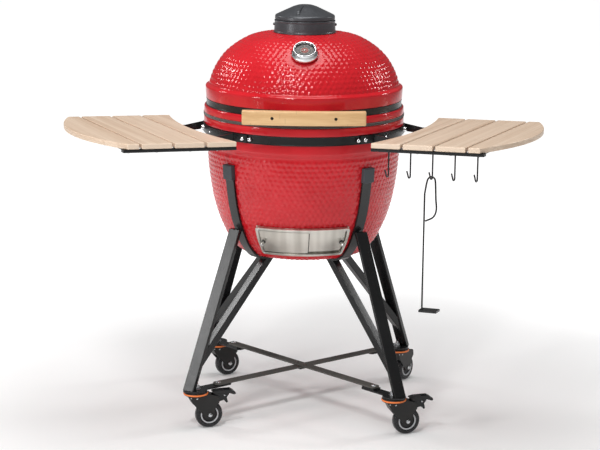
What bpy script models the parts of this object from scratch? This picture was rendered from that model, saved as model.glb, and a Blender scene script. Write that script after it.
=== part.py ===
"""Ceramic charcoal grill on a caster stand, with two folding side shelves.

Metres, +Z up. The origin is on the floor, under the middle of the whole object.
+X is the cook's right, -Y is the front. Shapes are laid out around the bowl's
vertical axis, which stands AXIS_Y behind the origin.
"""

from math import asin, atan2, cos, degrees, hypot, pi, radians, sin, tan

import bmesh
import bpy
from mathutils import Vector

# ---- driving dimensions ----
AXIS_Y = 0.0848           # the bowl's axis, behind the middle of the footprint
SEGMENTS = 36             # facets round the bowl and the lid
GAP = 0.0003              # clearance where two pieces touch

SPLIT_Z = 0.832           # the plane between lid and bowl
RIM_R = 0.273             # outer radius of both ceramic rims
SEAT_R = 0.2675           # radius of the bowl under its band
LID_SEAT_R = 0.2625       # radius of the lid under its band
BAND_T = 0.003            # steel band thickness
GASKET_T = 0.0034

BOWL_BAND = (0.7815, 0.8060)     # heights of the bowl's band seat
LID_BAND = (0.8550, 0.8740)      # heights of the lid's band seat
BOWL_OUTSIDE = [(0.2640, 0.7480), (0.2609, 0.7260), (0.2567, 0.6770), (0.2470, 0.6130),
                (0.2342, 0.5635), (0.2172, 0.5205), (0.2010, 0.4900), (0.1750, 0.4610),
                (0.1500, 0.4520)]
BOWL_INSIDE = [(0.1420, 0.4760), (0.1640, 0.4870), (0.1945, 0.5350), (0.2215, 0.6000),
               (0.2340, 0.6770), (0.2430, 0.7500), (0.2470, 0.8280)]
LID_OUTSIDE = [(0.2680, 0.9030), (0.2556, 0.9200), (0.2474, 0.9440), (0.2310, 0.9740),
               (0.2090, 1.0000), (0.1770, 1.0240), (0.1390, 1.0420), (0.0900, 1.0500)]
LID_INSIDE = [(0.1350, 1.0190), (0.1680, 1.0030), (0.1970, 0.9790), (0.2170, 0.9540),
              (0.2320, 0.9250), (0.2430, 0.9000), (0.2470, 0.8360)]
FLUE_R = 0.060            # hole in the top of the lid

HINGE_Y = 0.305           # lid hinge pin, behind the bowl's axis
HANDLE_HALF = 0.160
HANDLE_Z = (0.844, 0.881)
HANDLE_ARM_X = 0.082
GAUGE_R = 0.1937          # the thermometer's place on the lid
GAUGE_Z = 1.0115
GAUGE_LEAN = radians(56)  # its axis above the horizontal

DRAFT_HALF = radians(31.5)  # half the angle that the draft frame spans
DRAFT_SLOPE = radians(28) # mean slope of the bowl behind the draft frame
DRAFT_FOOT = (0.1910, 0.4790)
DRAFT_MIDDLE = (0.2172, 0.5205)
DRAFT_HEAD = (0.2325, 0.5585)
DRAFT_DOORWAY = (0.4960, 0.5380)

STAND_TURN = -4            # the bowl sits in the stand turned by this many degrees
STRAP_ANGLES = {"front_left": -44 + STAND_TURN, "front_right": 44 + STAND_TURN,
                "rear_right": 136 + STAND_TURN, "rear_left": -136 + STAND_TURN}
FOOT_ANGLES = {"front_left": -47.4 + STAND_TURN, "front_right": 47.4 + STAND_TURN,
               "rear_right": 132.6 + STAND_TURN, "rear_left": -132.6 + STAND_TURN}
LEG_FACINGS = {"front_left": -22 + STAND_TURN, "front_right": 22 + STAND_TURN,
               "rear_right": 158 + STAND_TURN, "rear_left": -158 + STAND_TURN}
LEG_TOP = (0.2410, 0.5380)
LEG_FOOT = (0.3840, 0.1085)
LEG_TUBE = (0.031, 0.015)
STRUT_TOP = (0.1255, 0.4460)
STRUT_FOOT = 0.85         # how far down the leg the strut meets it
STRUT_TUBE = (0.024, 0.020)
FOOT_Z = 0.1045           # underside of the feet, on top of the casters
TAB = (0.2480, 0.3990)    # each foot's tab, from the cross bars out to the leg
TAB_HALF = 0.0145
BAR_HALF = 0.3000         # half the length of the cross bars
CASTER_REACH = 0.3624     # swivel axes from the bowl's axis
CASTER_YAW = {"front_left": 18, "front_right": 19, "rear_right": 55, "rear_left": 33}
CASTER_TRAIL = 0.036
WHEEL_R = 0.0375
WHEEL_W = 0.024
PEDAL_Z = 0.078
PEDAL_REACH = 0.057       # the pedal's pin ahead of the swivel axis

SHELF_TURN = radians(24.7)       # the shelves point this far forward of the sides
SHELF_TILT = radians(2.0)
SHELF_PIVOT = (0.3050, 0.7880)   # distance from the bowl's axis, height
SHELF_HALF = 0.243
SHELF_TOP_Z = 0.8135             # at the distance below
SHELF_TOP_AT = 0.515
PLANK_T = 0.014
PLANK_GAPS = (0.384, 0.472, 0.560)
PLANK_GAP = 0.0065
SHELF_INNER = (0.300, 0.333)     # inner edge at the ends and in the middle
SHELF_OUTER = (0.595, 0.662)     # outer edge at the ends and in the middle
RAIL = (0.300, 0.606)            # the rails' ends
RAIL_T = 0.008
BRACKET_ARMS = (-0.105, 0.115)
HOOK_FIRST, HOOK_PITCH, HOOK_COUNT = 0.349, 0.060, 5
HOOK_DROP = 0.062
TOOL_HOOK = 2
TOOL_DROP = 0.345

RED = (0.56, 0.012, 0.020)
BLACK = (0.020, 0.020, 0.022)
GREY = (0.10, 0.10, 0.11)
STEEL = (0.62, 0.60, 0.57)
BAMBOO = (0.66, 0.45, 0.25)


# ---- making solids ----

def clear_scene():
    for thing in list(bpy.data.objects):
        bpy.data.objects.remove(thing, do_unlink=True)


def material(name, colour, roughness, metallic=0.0):
    made = bpy.data.materials.new(name)
    made.use_nodes = True
    shader = made.node_tree.nodes["Principled BSDF"]
    shader.inputs["Base Color"].default_value = (*colour, 1.0)
    shader.inputs["Roughness"].default_value = roughness
    shader.inputs["Metallic"].default_value = metallic
    return made


def solid(points, faces):
    shape = bmesh.new()
    corners = [shape.verts.new(point) for point in points]
    for face in faces:
        shape.faces.new([corners[i] for i in face])
    bmesh.ops.recalc_face_normals(shape, faces=shape.faces)
    mesh = bpy.data.meshes.new("solid")
    shape.to_mesh(mesh)
    shape.free()
    return mesh


def turned(profile, segments=SEGMENTS, ring=False, start=0.0):
    """A profile of (radius, height) turned about Z; a ring's profile closes on itself."""
    points, rows = [], []
    for radius, height in profile:
        if radius == 0:
            rows.append([len(points)] * segments)
            points.append((0, 0, height))
            continue
        rows.append([len(points) + i for i in range(segments)])
        for i in range(segments):
            turn = 2 * pi * (i + start) / segments
            points.append((radius * sin(turn), -radius * cos(turn), height))
    faces = []
    pairs = list(zip(rows, rows[1:] + rows[:1])) if ring else list(zip(rows, rows[1:]))
    for low, high in pairs:
        for i in range(segments):
            j = (i + 1) % segments
            corners = [low[i], low[j], high[j], high[i]]
            faces.append(list(dict.fromkeys(corners)))
    return solid(points, faces)


def ring(inner, outer, low, high, segments=SEGMENTS):
    return turned([(inner, low), (outer, low), (outer, high), (inner, high)], segments, ring=True)


def extruded(outline, low, high, place):
    """An outline of (a, b) pushed from c = low to c = high; place(a, b, c) gives x, y, z."""
    count = len(outline)
    points = [place(a, b, low) for a, b in outline] + [place(a, b, high) for a, b in outline]
    faces = [list(range(count)), list(range(count, 2 * count))]
    for i in range(count):
        j = (i + 1) % count
        faces.append([i, j, count + j, count + i])
    return solid(points, faces)


def box(low, high, place=lambda x, y, z: (x, y, z)):
    outline = [(low[0], low[1]), (high[0], low[1]), (high[0], high[1]), (low[0], high[1])]
    return extruded(outline, low[2], high[2], place)


def sector(outline, start, end, steps):
    """An outline of (radius, height) swept round Z between two angles from the front."""
    count = len(outline)
    points, faces = [], []
    for i in range(steps + 1):
        turn = start + (end - start) * i / steps
        points += [(r * sin(turn), -r * cos(turn), z) for r, z in outline]
    for i in range(steps):
        for j in range(count):
            k = (j + 1) % count
            base, ahead = i * count, (i + 1) * count
            faces.append([base + j, base + k, ahead + k, ahead + j])
    faces += [list(range(count)), list(range(steps * count, (steps + 1) * count))]
    return solid(points, faces)


def rod(start, end, radius, sides=12, end_radius=None):
    """A round bar, or a cone, from one point to another."""
    start, end = Vector(start), Vector(end)
    turn = (end - start).to_track_quat("Z", "Y").to_matrix()
    points = []
    for centre, size in ((start, radius), (end, end_radius or radius)):
        for i in range(sides):
            spin = 2 * pi * i / sides
            points.append(centre + turn @ Vector((size * cos(spin), size * sin(spin), 0)))
    faces = [list(range(sides)), list(range(sides, 2 * sides))]
    for i in range(sides):
        j = (i + 1) % sides
        faces.append([i, j, sides + j, sides + i])
    return solid(points, faces)


def wire(route, radius, sides=8):
    """A bent round wire along a route of points, mitred at each bend."""
    route = [Vector(point) for point in route]
    count = len(route)
    points, faces = [], []
    side = None
    for i, here in enumerate(route):
        back = (here - route[i - 1]).normalized() if i else None
        ahead = (route[i + 1] - here).normalized() if i < count - 1 else None
        along = ((back or ahead) + (ahead or back)).normalized()
        if side is None:
            side = along.orthogonal().normalized()
        side = (side - along * side.dot(along)).normalized()
        other = along.cross(side)
        for j in range(sides):
            spin = 2 * pi * j / sides
            points.append(here + radius * (side * cos(spin) + other * sin(spin)))
    for i in range(count - 1):
        for j in range(sides):
            k = (j + 1) % sides
            low, high = i * sides, (i + 1) * sides
            faces.append([low + j, low + k, high + k, high + j])
    faces += [list(range(sides)), list(range((count - 1) * sides, count * sides))]
    return solid(points, faces)


def arc(centre, radius, start, end, steps):
    """Points (a, b) round an arc, angles in degrees."""
    turns = [radians(start + (end - start) * i / steps) for i in range(steps + 1)]
    return [(centre[0] + radius * cos(t), centre[1] + radius * sin(t)) for t in turns]


def offset(route, distance):
    """A route of (radius, height), going down and inwards, moved outwards by a distance."""
    moved = []
    for i, (r, z) in enumerate(route):
        before, after = route[max(i - 1, 0)], route[min(i + 1, len(route) - 1)]
        dr, dz = after[0] - before[0], after[1] - before[1]
        size = hypot(dr, dz)
        moved.append((r - dz / size * distance, z + dr / size * distance))
    return moved


# ---- putting pieces together ----

pivots = {}


def pivot(name, place, parent=None, turn=0.0):
    """An empty on a joint's axis; its pieces are laid out from the bowl's axis."""
    empty = bpy.data.objects.new(name, None)
    bpy.context.collection.objects.link(empty)
    origin = Vector(place)
    if parent:
        empty.parent = pivots[parent][0]
        empty.location = origin - pivots[parent][1]
    else:
        empty.location = origin
    empty.rotation_euler.z = turn
    pivots[name] = (empty, origin if parent else Vector((0, 0, 0)))
    return empty


def link(name, mesh, body, own_frame):
    thing = bpy.data.objects.new(name, mesh)
    bpy.context.collection.objects.link(thing)
    empty, origin = pivots[body]
    thing.parent = empty
    if not own_frame:
        thing.location = -origin
    return thing


def piece(name, mesh, finish, body="grill", add=(), cut=(), own_frame=False, smooth=True):
    """One node. add and cut are further solids, joined to it or taken from it."""
    mesh.materials.clear()
    mesh.materials.append(finish)
    if smooth:
        mesh.shade_smooth()
        mesh.set_sharp_from_angle(angle=radians(30))
    thing = link(name, mesh, body, own_frame)
    jobs = [(other, "UNION") for other in add] + [(other, "DIFFERENCE") for other in cut]
    for i, (other, operation) in enumerate(jobs):
        tool = link(f"{name}_tool_{i}", other, body, own_frame)
        tool.hide_render = True
        tool.display_type = "WIRE"
        step = thing.modifiers.new(operation.title(), "BOOLEAN")
        step.operation = operation
        step.solver = "EXACT"
        step.object = tool
    return thing


# ---- the ceramic body ----

def make_bowl(red):
    low, high = BOWL_BAND
    profile = [(0, 0.4760)] + BOWL_INSIDE + [(RIM_R, 0.8280), (RIM_R, high), (SEAT_R, high), (SEAT_R, low)]
    profile += BOWL_OUTSIDE + [(0, 0.4520)]
    doorway = box((-0.080, -0.280, DRAFT_DOORWAY[0]), (0.080, -0.120, DRAFT_DOORWAY[1]))
    piece("bowl", turned(profile), red, cut=[doorway])


def make_lid(red):
    low, high = LID_BAND
    profile = LID_INSIDE + [(RIM_R, 0.8360), (RIM_R, low), (LID_SEAT_R, low), (LID_SEAT_R, high), (0.2670, high)]
    profile += LID_OUTSIDE + [(FLUE_R, 1.0505), (FLUE_R, 1.0270)]
    out = gauge_axis()
    place = Vector((0, -GAUGE_R, GAUGE_Z))
    hole = rod(place - out * 0.060, place + out * 0.030, 0.0062)
    piece("lid", turned(profile, ring=True), red, "lid_body", cut=[hole])


def make_bands(black, felt):
    for name, (low, high), seat, body in (("bowl_band", BOWL_BAND, SEAT_R, "grill"),
                                          ("lid_band", LID_BAND, LID_SEAT_R, "lid_body")):
        hoop = ring(seat + GAP, seat + GAP + BAND_T, low + 0.0005, high - 0.0005)
        piece(name, hoop, black, body)
    for name, low, body in (("bowl_gasket", 0.8283, "grill"), ("lid_gasket", SPLIT_Z + GAP, "lid_body")):
        piece(name, ring(0.250, 0.2740, low, low + GASKET_T), felt, body)


def make_fire_parts(clay, iron, steel):
    cup = [(0.030, 0.4763), (0.1340, 0.4763), (0.1600, 0.4960), (0.1830, 0.5350), (0.2090, 0.6000),
           (0.2160, 0.6600), (0.1980, 0.6600), (0.1920, 0.6050), (0.1680, 0.5450), (0.1450, 0.5060),
           (0.0900, 0.4950), (0.030, 0.4950)]
    mouth = box((-0.070, -0.250, 0.4980), (0.070, -0.100, 0.5300))
    piece("fire_box", turned(cup, 24, ring=True), clay, cut=[mouth])
    hoop = [(0.1990, 0.6603), (0.2160, 0.6603), (0.2240, 0.7000), (0.2330, 0.7900), (0.2180, 0.7900),
            (0.2080, 0.7000)]
    piece("fire_ring", turned(hoop, 24, ring=True), clay)
    slots = [box((-0.075, y - 0.004, 0.530), (0.075, y + 0.004, 0.580)) for y in (-0.045, -0.015, 0.015, 0.045)]
    plate = turned([(0, 0.5480), (0.1630, 0.5480), (0.1650, 0.5560), (0, 0.5560)], 24)
    piece("charcoal_grate", plate, iron, cut=slots)
    bars = []
    for i in range(-6, 7):
        x = i * 0.032
        reach = (0.2230 ** 2 - x * x) ** 0.5
        bars.append(box((x - 0.0025, -reach, 0.7925), (x + 0.0025, reach, 0.7980)))
    tie = box((-0.2230, -0.003, 0.7912), (0.2230, 0.003, 0.7950))
    rim = ring(0.2200, 0.2270, 0.7903, 0.7990, 24)
    piece("cooking_grate", rim, steel, "cooking_grate_body", add=[joined(bars), tie])


def joined(meshes):
    """Several meshes as one, still separate bodies, to be used in a Boolean."""
    shape = bmesh.new()
    for mesh in meshes:
        shape.from_mesh(mesh)
    together = bpy.data.meshes.new("joined")
    shape.to_mesh(together)
    shape.free()
    return together


def gauge_axis():
    return Vector((0, -cos(GAUGE_LEAN), sin(GAUGE_LEAN)))


def make_gauge(chrome):
    out = gauge_axis()
    foot = Vector((0, -GAUGE_R, GAUGE_Z)) + out * 0.0030
    case = rod(foot, foot + out * 0.0190, 0.0370, 24, 0.0300)
    recess = rod(foot + out * 0.0120, foot + out * 0.0300, 0.0255, 24)
    stem = rod(foot - out * 0.0600, foot + out * 0.0060, 0.0045, 8)
    piece("thermometer", case, chrome, "lid_body", add=[stem], cut=[recess])


def make_top_vent(iron):
    base = [(FLUE_R - 0.002, 1.0508), (0.0820, 1.0508), (0.0820, 1.0850), (0.0760, 1.0850),
            (0.0740, 1.0580), (FLUE_R - 0.002, 1.0560)]
    pins = rod((-0.0860, 0, 1.0720), (-0.0780, 0, 1.0720), 0.0030, 8)
    other = rod((0.0780, 0, 1.0720), (0.0860, 0, 1.0720), 0.0030, 8)
    piece("vent_base", turned(base, 24, ring=True), iron, "lid_body", add=[pins, other])
    cap = [(0, 1.1200), (0.0300, 1.1150), (0.0700, 1.0980), (0.0740, 1.0856), (0.0825, 1.0856),
           (0.0825, 1.0900), (0.0775, 1.0990), (0.0550, 1.1110), (0.0300, 1.1220), (0, 1.1260)]
    ports = [box((x, -0.100, 1.0830), (x + 0.030, 0.100, 1.0878)) for x in (-0.045, 0.015)]
    fin = [(0.0050, 1.1200), (0.0050, 1.1252), (0.0300, 1.1235), (0.0640, 1.1140), (0.0690, 1.1060), (0.0690, 1.0980)]
    turn = sector(fin, radians(-18), radians(-14), 1)
    piece("vent_cover", turned(cap, 24), iron, "vent_cover_body", add=[turn], cut=ports)


# ---- lid hinge and handle ----

def make_hinge(black, steel):
    across = lambda y, z, x: (x, y, z)
    eye = (HINGE_Y, SPLIT_Z)
    for name, plate, near, arms, body in (
            ("hinge_lower", (0.7830, 0.8045), 0.2716, ((-0.036, -0.025), (0.025, 0.036)), "grill"),
            ("hinge_upper", (0.8562, 0.8728), 0.2664, ((-0.020, 0.020),), "lid_body")):
        low, high = plate
        far = near + 0.0050
        back = extruded([(near, low), (far, low), (far, high), (near, high)], -0.045, 0.045, across)
        lower = name == "hinge_lower"
        start, end = (-60, 135) if lower else (-135, 60)
        knuckle = arc(eye, 0.0125, start, end, 8)
        root = [(0.2745, high), (0.2745, low + 0.003)] if lower else [(0.2695, high - 0.003), (0.2695, 0.8590),
                                                                      (0.2745, 0.8575)]
        leaves = [extruded(root + knuckle, a, b, across) for a, b in arms]
        bore = rod((-0.060, HINGE_Y, SPLIT_Z), (0.060, HINGE_Y, SPLIT_Z), 0.0046, 16)
        piece(name, back, black, body, add=leaves, cut=[bore])
    pin = rod((-0.039, HINGE_Y, SPLIT_Z), (0.039, HINGE_Y, SPLIT_Z), 0.0040, 16)
    piece("hinge_pin", pin, steel)


def make_handle(bamboo, black):
    low, high = HANDLE_Z
    front = [(x, -0.3270 + 0.013 * (x / HANDLE_HALF) ** 2) for x in even(-HANDLE_HALF, HANDLE_HALF, 8)]
    back = [(x, y + 0.0220) for x, y in reversed(front)]
    grip = extruded(front + back, low, high, lambda x, y, z: (x, y, z))
    piece("handle_grip", grip, bamboo, "lid_body", smooth=False)
    for name, side in (("left", -1), ("right", 1)):
        lean = atan2(0.258, HANDLE_ARM_X)
        root = Vector((side * HANDLE_ARM_X, -0.2542))
        along = Vector((side * sin(lean), cos(lean)))
        outward = Vector((side * cos(lean), -sin(lean)))
        foot = [root + along * a + outward * b for a, b in ((-0.014, -0.0008), (0.014, -0.0008),
                                                            (0.014, 0.0022), (-0.014, 0.0022))]
        foot = extruded([tuple(p) for p in foot], 0.8562, 0.8728, lambda x, y, z: (x, y, z))
        x = side * HANDLE_ARM_X
        arm = box((x - 0.0015, -0.2980, 0.8570), (x + 0.0015, -0.2550, 0.8720))
        pad = box((x - 0.0120, -0.2996, 0.8560), (x + 0.0120, -0.2970, 0.8730))
        piece(f"handle_bracket_{name}", foot, black, "lid_body", add=[arm, pad], smooth=False)


def even(start, end, steps):
    return [start + (end - start) * i / steps for i in range(steps + 1)]


# ---- draft vent at the bottom of the bowl ----

def draft_skin(up, out):
    """A point on the draft frame: up the slope from 0 to 1, and out from the bowl."""
    legs = (DRAFT_FOOT, DRAFT_MIDDLE) if up < 0.5 else (DRAFT_MIDDLE, DRAFT_HEAD)
    part = (up * 2) % 1 if up < 1 else 1
    r = legs[0][0] + (legs[1][0] - legs[0][0]) * part
    z = legs[0][1] + (legs[1][1] - legs[0][1]) * part
    return (r + out * cos(DRAFT_SLOPE), z - out * sin(DRAFT_SLOPE))


def draft_outline(steps):
    return [draft_skin(up, out) for up, out in steps]


def make_draft(steel):
    channel = draft_outline([(0, 0.004), (0.5, 0.004), (1, 0.004), (1, 0.0125), (0.86, 0.0125), (0.86, 0.0113),
                             (0.91, 0.0113), (0.91, 0.0055), (0.5, 0.0055), (0.09, 0.0055), (0.09, 0.0113),
                             (0.14, 0.0113), (0.14, 0.0125), (0, 0.0125)])
    frame = sector(channel, -DRAFT_HALF, DRAFT_HALF, 8)
    window = box((-0.078, -0.300, 0.4955), (0.078, -0.120, 0.5400))
    piece("draft_frame", frame, steel, cut=[window], smooth=False)
    for name, inner, start, end, knob_at in (("draft_door_left", 0.0092, -30.2, 4.0, -27.5),
                                             ("draft_door_right", 0.0072, 1.0, 30.2, 27.5)):
        slab = [(0.11, inner), (0.5, inner), (0.89, inner), (0.89, inner + 0.0008),
                (0.5, inner + 0.0008), (0.11, inner + 0.0008)]
        plate = sector(draft_outline(slab), radians(start), radians(end), 4)
        spot = [draft_skin(0.5, inner + reach) for reach in (0.0002, 0.0170)]
        turn = radians(knob_at)
        ends = [(r * sin(turn), -r * cos(turn), z) for r, z in spot]
        knob = rod(ends[0], ends[1], 0.0055, 10)
        piece(name, plate, steel, f"{name}_body", add=[knob], smooth=False)


# ---- stand ----

def radial(angle):
    """Places (outwards, up, across) on the vertical plane at an angle from the front."""
    turn = radians(angle)
    return lambda r, z, c: (r * sin(turn) + c * cos(turn), -r * cos(turn) + c * sin(turn), z)


def bar_outline(start, end, width):
    """The four corners of a straight bar seen from the side."""
    (r0, z0), (r1, z1) = start, end
    size = hypot(r1 - r0, z1 - z0)
    nr, nz = -(z1 - z0) / size * width / 2, (r1 - r0) / size * width / 2
    return [(r0 + nr, z0 + nz), (r1 + nr, z1 + nz), (r1 - nr, z1 - nz), (r0 - nr, z0 - nz)]


def spot(angle, r, z):
    return Vector((r * sin(radians(angle)), -r * cos(radians(angle)), z))


def slanted(start, end, facing, end_cut=(0, 0, 1)):
    """Places (across, deep, 0 to 1 down) on a tube between two points, its broad side facing an angle.

    Its upper end is level, and its lower end is square to end_cut.
    """
    along = (end - start).normalized()
    across = Vector((cos(radians(facing)), sin(radians(facing)), 0))
    across = (across - along * across.dot(along)).normalized()
    deep = along.cross(across)

    def place(a, b, part):
        side = start + across * a + deep * b
        ends = [(point - side).dot(Vector(cut)) / along.dot(Vector(cut))
                for point, cut in ((start, (0, 0, 1)), (end, end_cut))]
        return tuple(side + along * (ends[0] + (ends[1] - ends[0]) * part))
    return place, deep


def rectangle(wide, deep):
    return [(-wide / 2, -deep / 2), (wide / 2, -deep / 2), (wide / 2, deep / 2), (-wide / 2, deep / 2)]


def chamfered(start, end, half):
    """A flat bar's outline with its corners cut off."""
    cut = half / 2
    return [(start + cut, -half), (end - cut, -half), (end, -half + cut), (end, half - cut),
            (end - cut, half), (start + cut, half), (start, half - cut), (start, -half + cut)]


def foot_outline():
    """A foot's plate: the tab, with a round part over the caster."""
    half, radius, middle = TAB_HALF, 0.0310, CASTER_REACH
    turn = degrees(asin(half / radius))
    near, far = arc((middle, 0), radius, 180 + turn, 360 - turn, 7), arc((middle, 0), radius, turn, 180 - turn, 7)
    tab = chamfered(TAB[0], TAB[1], half)
    return tab[:1] + near + tab[1:5] + far + tab[5:]


def make_stand(black, rubber):
    under_bowl = [(0.2600, 0.7100)] + BOWL_OUTSIDE[2:] + [(0.1300, 0.4505)]
    strap = offset(under_bowl, 0.0015) + list(reversed(offset(under_bowl, 0.0075)))
    for name, angle in STRAP_ANGLES.items():
        place, foot = radial(angle), radial(FOOT_ANGLES[name])
        flat = lambda a, b, c: foot(a, c, b)
        top, bottom = spot(angle, *LEG_TOP), spot(FOOT_ANGLES[name], *LEG_FOOT)
        leg, leg_side = slanted(top, bottom, LEG_FACINGS[name])
        head, end = spot(angle, *STRUT_TOP), top.lerp(bottom, STRUT_FOOT)
        strut, _ = slanted(head, end, degrees(atan2(end.x - head.x, head.y - end.y)), leg_side)
        solids = [extruded(rectangle(*LEG_TUBE), 0, 1, leg), extruded(rectangle(*STRUT_TUBE), 0, 1, strut),
                  extruded(foot_outline(), FOOT_Z, FOOT_Z + 0.0050, flat)]
        if name in ("front_right", "rear_left"):
            solids.append(box((BAR_HALF - 0.0440, FOOT_Z + 0.0040, -0.0135),
                              (BAR_HALF, FOOT_Z + 0.0096, 0.0135), foot))
        piece(f"leg_{name}", extruded(strap, -0.0160, 0.0160, place), black, add=solids, smooth=False)
        sleeve = bar_outline((0.2650, 0.6760), (0.2672, 0.7150), 0.0130)
        pocket = offset(under_bowl, 0.0012) + list(reversed(offset(under_bowl, 0.0078)))
        pad = extruded(sleeve, -0.0180, 0.0180, place)
        piece(f"leg_pad_{name}", pad, rubber, cut=[extruded(pocket, -0.0163, 0.0163, place)], smooth=False)
    for name, end, low in (("brace_bar_lower", "front_left", 0.0053), ("brace_bar_upper", "front_right", 0.0099)):
        place = radial(FOOT_ANGLES[end])
        outline = chamfered(-BAR_HALF, BAR_HALF, 0.0145)
        bar = extruded(outline, FOOT_Z + low, FOOT_Z + low + 0.0042, lambda a, b, c: place(a, c, b))
        piece(name, bar, black, smooth=False)


def make_casters(black, tyre):
    fork = [(-0.026, 0.0985), (0.020, 0.0985), (0.061, 0.0885), (0.063, 0.071), (0.053, 0.062), (0.045, 0.030),
            (0.027, 0.030), (-0.010, 0.070)]
    flat = lambda a, b, c: (a, c, b)
    side_gap = WHEEL_W / 2 + 0.0022
    body = ring(0.0060, 0.0330, 0.0935, 0.1035, 14)
    cheeks = [extruded(fork, side, side + 0.0025, flat) for side in (-side_gap - 0.0025, side_gap)]
    crown = box((-0.026, -side_gap - 0.0024, 0.0930), (0.044, side_gap + 0.0024, 0.0975))
    cap = turned([(0, 0.0940), (0.0100, 0.0940), (0.0100, 0.1041), (0, 0.1041)], 8)
    axle = rod((CASTER_TRAIL, -side_gap - 0.006, WHEEL_R), (CASTER_TRAIL, side_gap + 0.006, WHEEL_R), 0.0045, 10)
    facets = 20
    tread = WHEEL_R / cos(pi / facets)
    wheel = [(0.0060, -WHEEL_W / 2), (tread - 0.005, -WHEEL_W / 2), (tread, -0.0065), (tread, 0.0065),
             (tread - 0.005, WHEEL_W / 2), (0.0060, WHEEL_W / 2)]
    stem = [(-0.009, -0.004), (-0.002, -0.007), (0.008, -0.006), (0.020, -0.003), (0.026, -0.012),
            (0.031, -0.010), (0.027, 0.004), (0.034, 0.012), (0.034, 0.020), (-0.010, 0.020), (-0.006, 0.010)]
    blade = [(0.008, 0.0175), (0.034, 0.0155), (0.048, 0.0105), (0.053, 0.0125), (0.050, 0.0190), (0.040, 0.0245),
             (0.002, 0.0245), (-0.011, 0.0220), (-0.011, 0.0180)]
    wheel_mesh = turned(wheel, facets, ring=True, start=0.5)
    pedal_mesh = extruded(stem, -0.0100, 0.0100, flat)
    blade_mesh = extruded(blade, -0.0135, 0.0135, flat)
    slot_mesh = box((0.020, -0.0060, 0.0100), (0.036, 0.0060, 0.0300))
    for name, yaw in CASTER_YAW.items():
        angle = radians(FOOT_ANGLES[name])
        place = (CASTER_REACH * sin(angle), -CASTER_REACH * cos(angle), 0)
        pivot(f"caster_{name}_swivel", place, "grill", radians(yaw))
        pins = [axle, crown, cap] + cheeks
        piece(f"caster_fork_{name}", body.copy(), black, f"caster_{name}_swivel",
              add=[pin.copy() for pin in pins], own_frame=True, smooth=False)
        thing = piece(f"caster_wheel_{name}", wheel_mesh, tyre, f"caster_{name}_swivel", own_frame=True)
        thing.location = (CASTER_TRAIL, 0, WHEEL_R)
        thing.rotation_euler.x = pi / 2
    for name in ("front_left", "front_right"):
        pivot(f"pedal_{name}", (0, 0, 0), f"caster_{name}_swivel")
        pivots[f"pedal_{name}"][0].location = (PEDAL_REACH, 0, PEDAL_Z)
        piece(f"brake_pedal_{name}", pedal_mesh.copy(), black, f"pedal_{name}",
              add=[blade_mesh.copy()], cut=[slot_mesh.copy()], own_frame=True, smooth=False)


# ---- shelves ----

def shelf_place(side, tilted=True):
    """Places (outwards, across, height over the planks' top) on a shelf; side is -1 left, 1 right."""
    def place(p, q, h):
        lift = SHELF_TOP_Z + (p - SHELF_TOP_AT) * tan(SHELF_TILT) if tilted else 0.0
        x = side * (p * cos(SHELF_TURN) + q * sin(SHELF_TURN))
        y = -p * sin(SHELF_TURN) + q * cos(SHELF_TURN)
        return (x, y, lift + h)
    return place


def edge(limits, q):
    """A shelf edge's distance at q: an arc, given by its ends and its middle."""
    return limits[1] + (limits[0] - limits[1]) * (q / SHELF_HALF) ** 2


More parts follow.
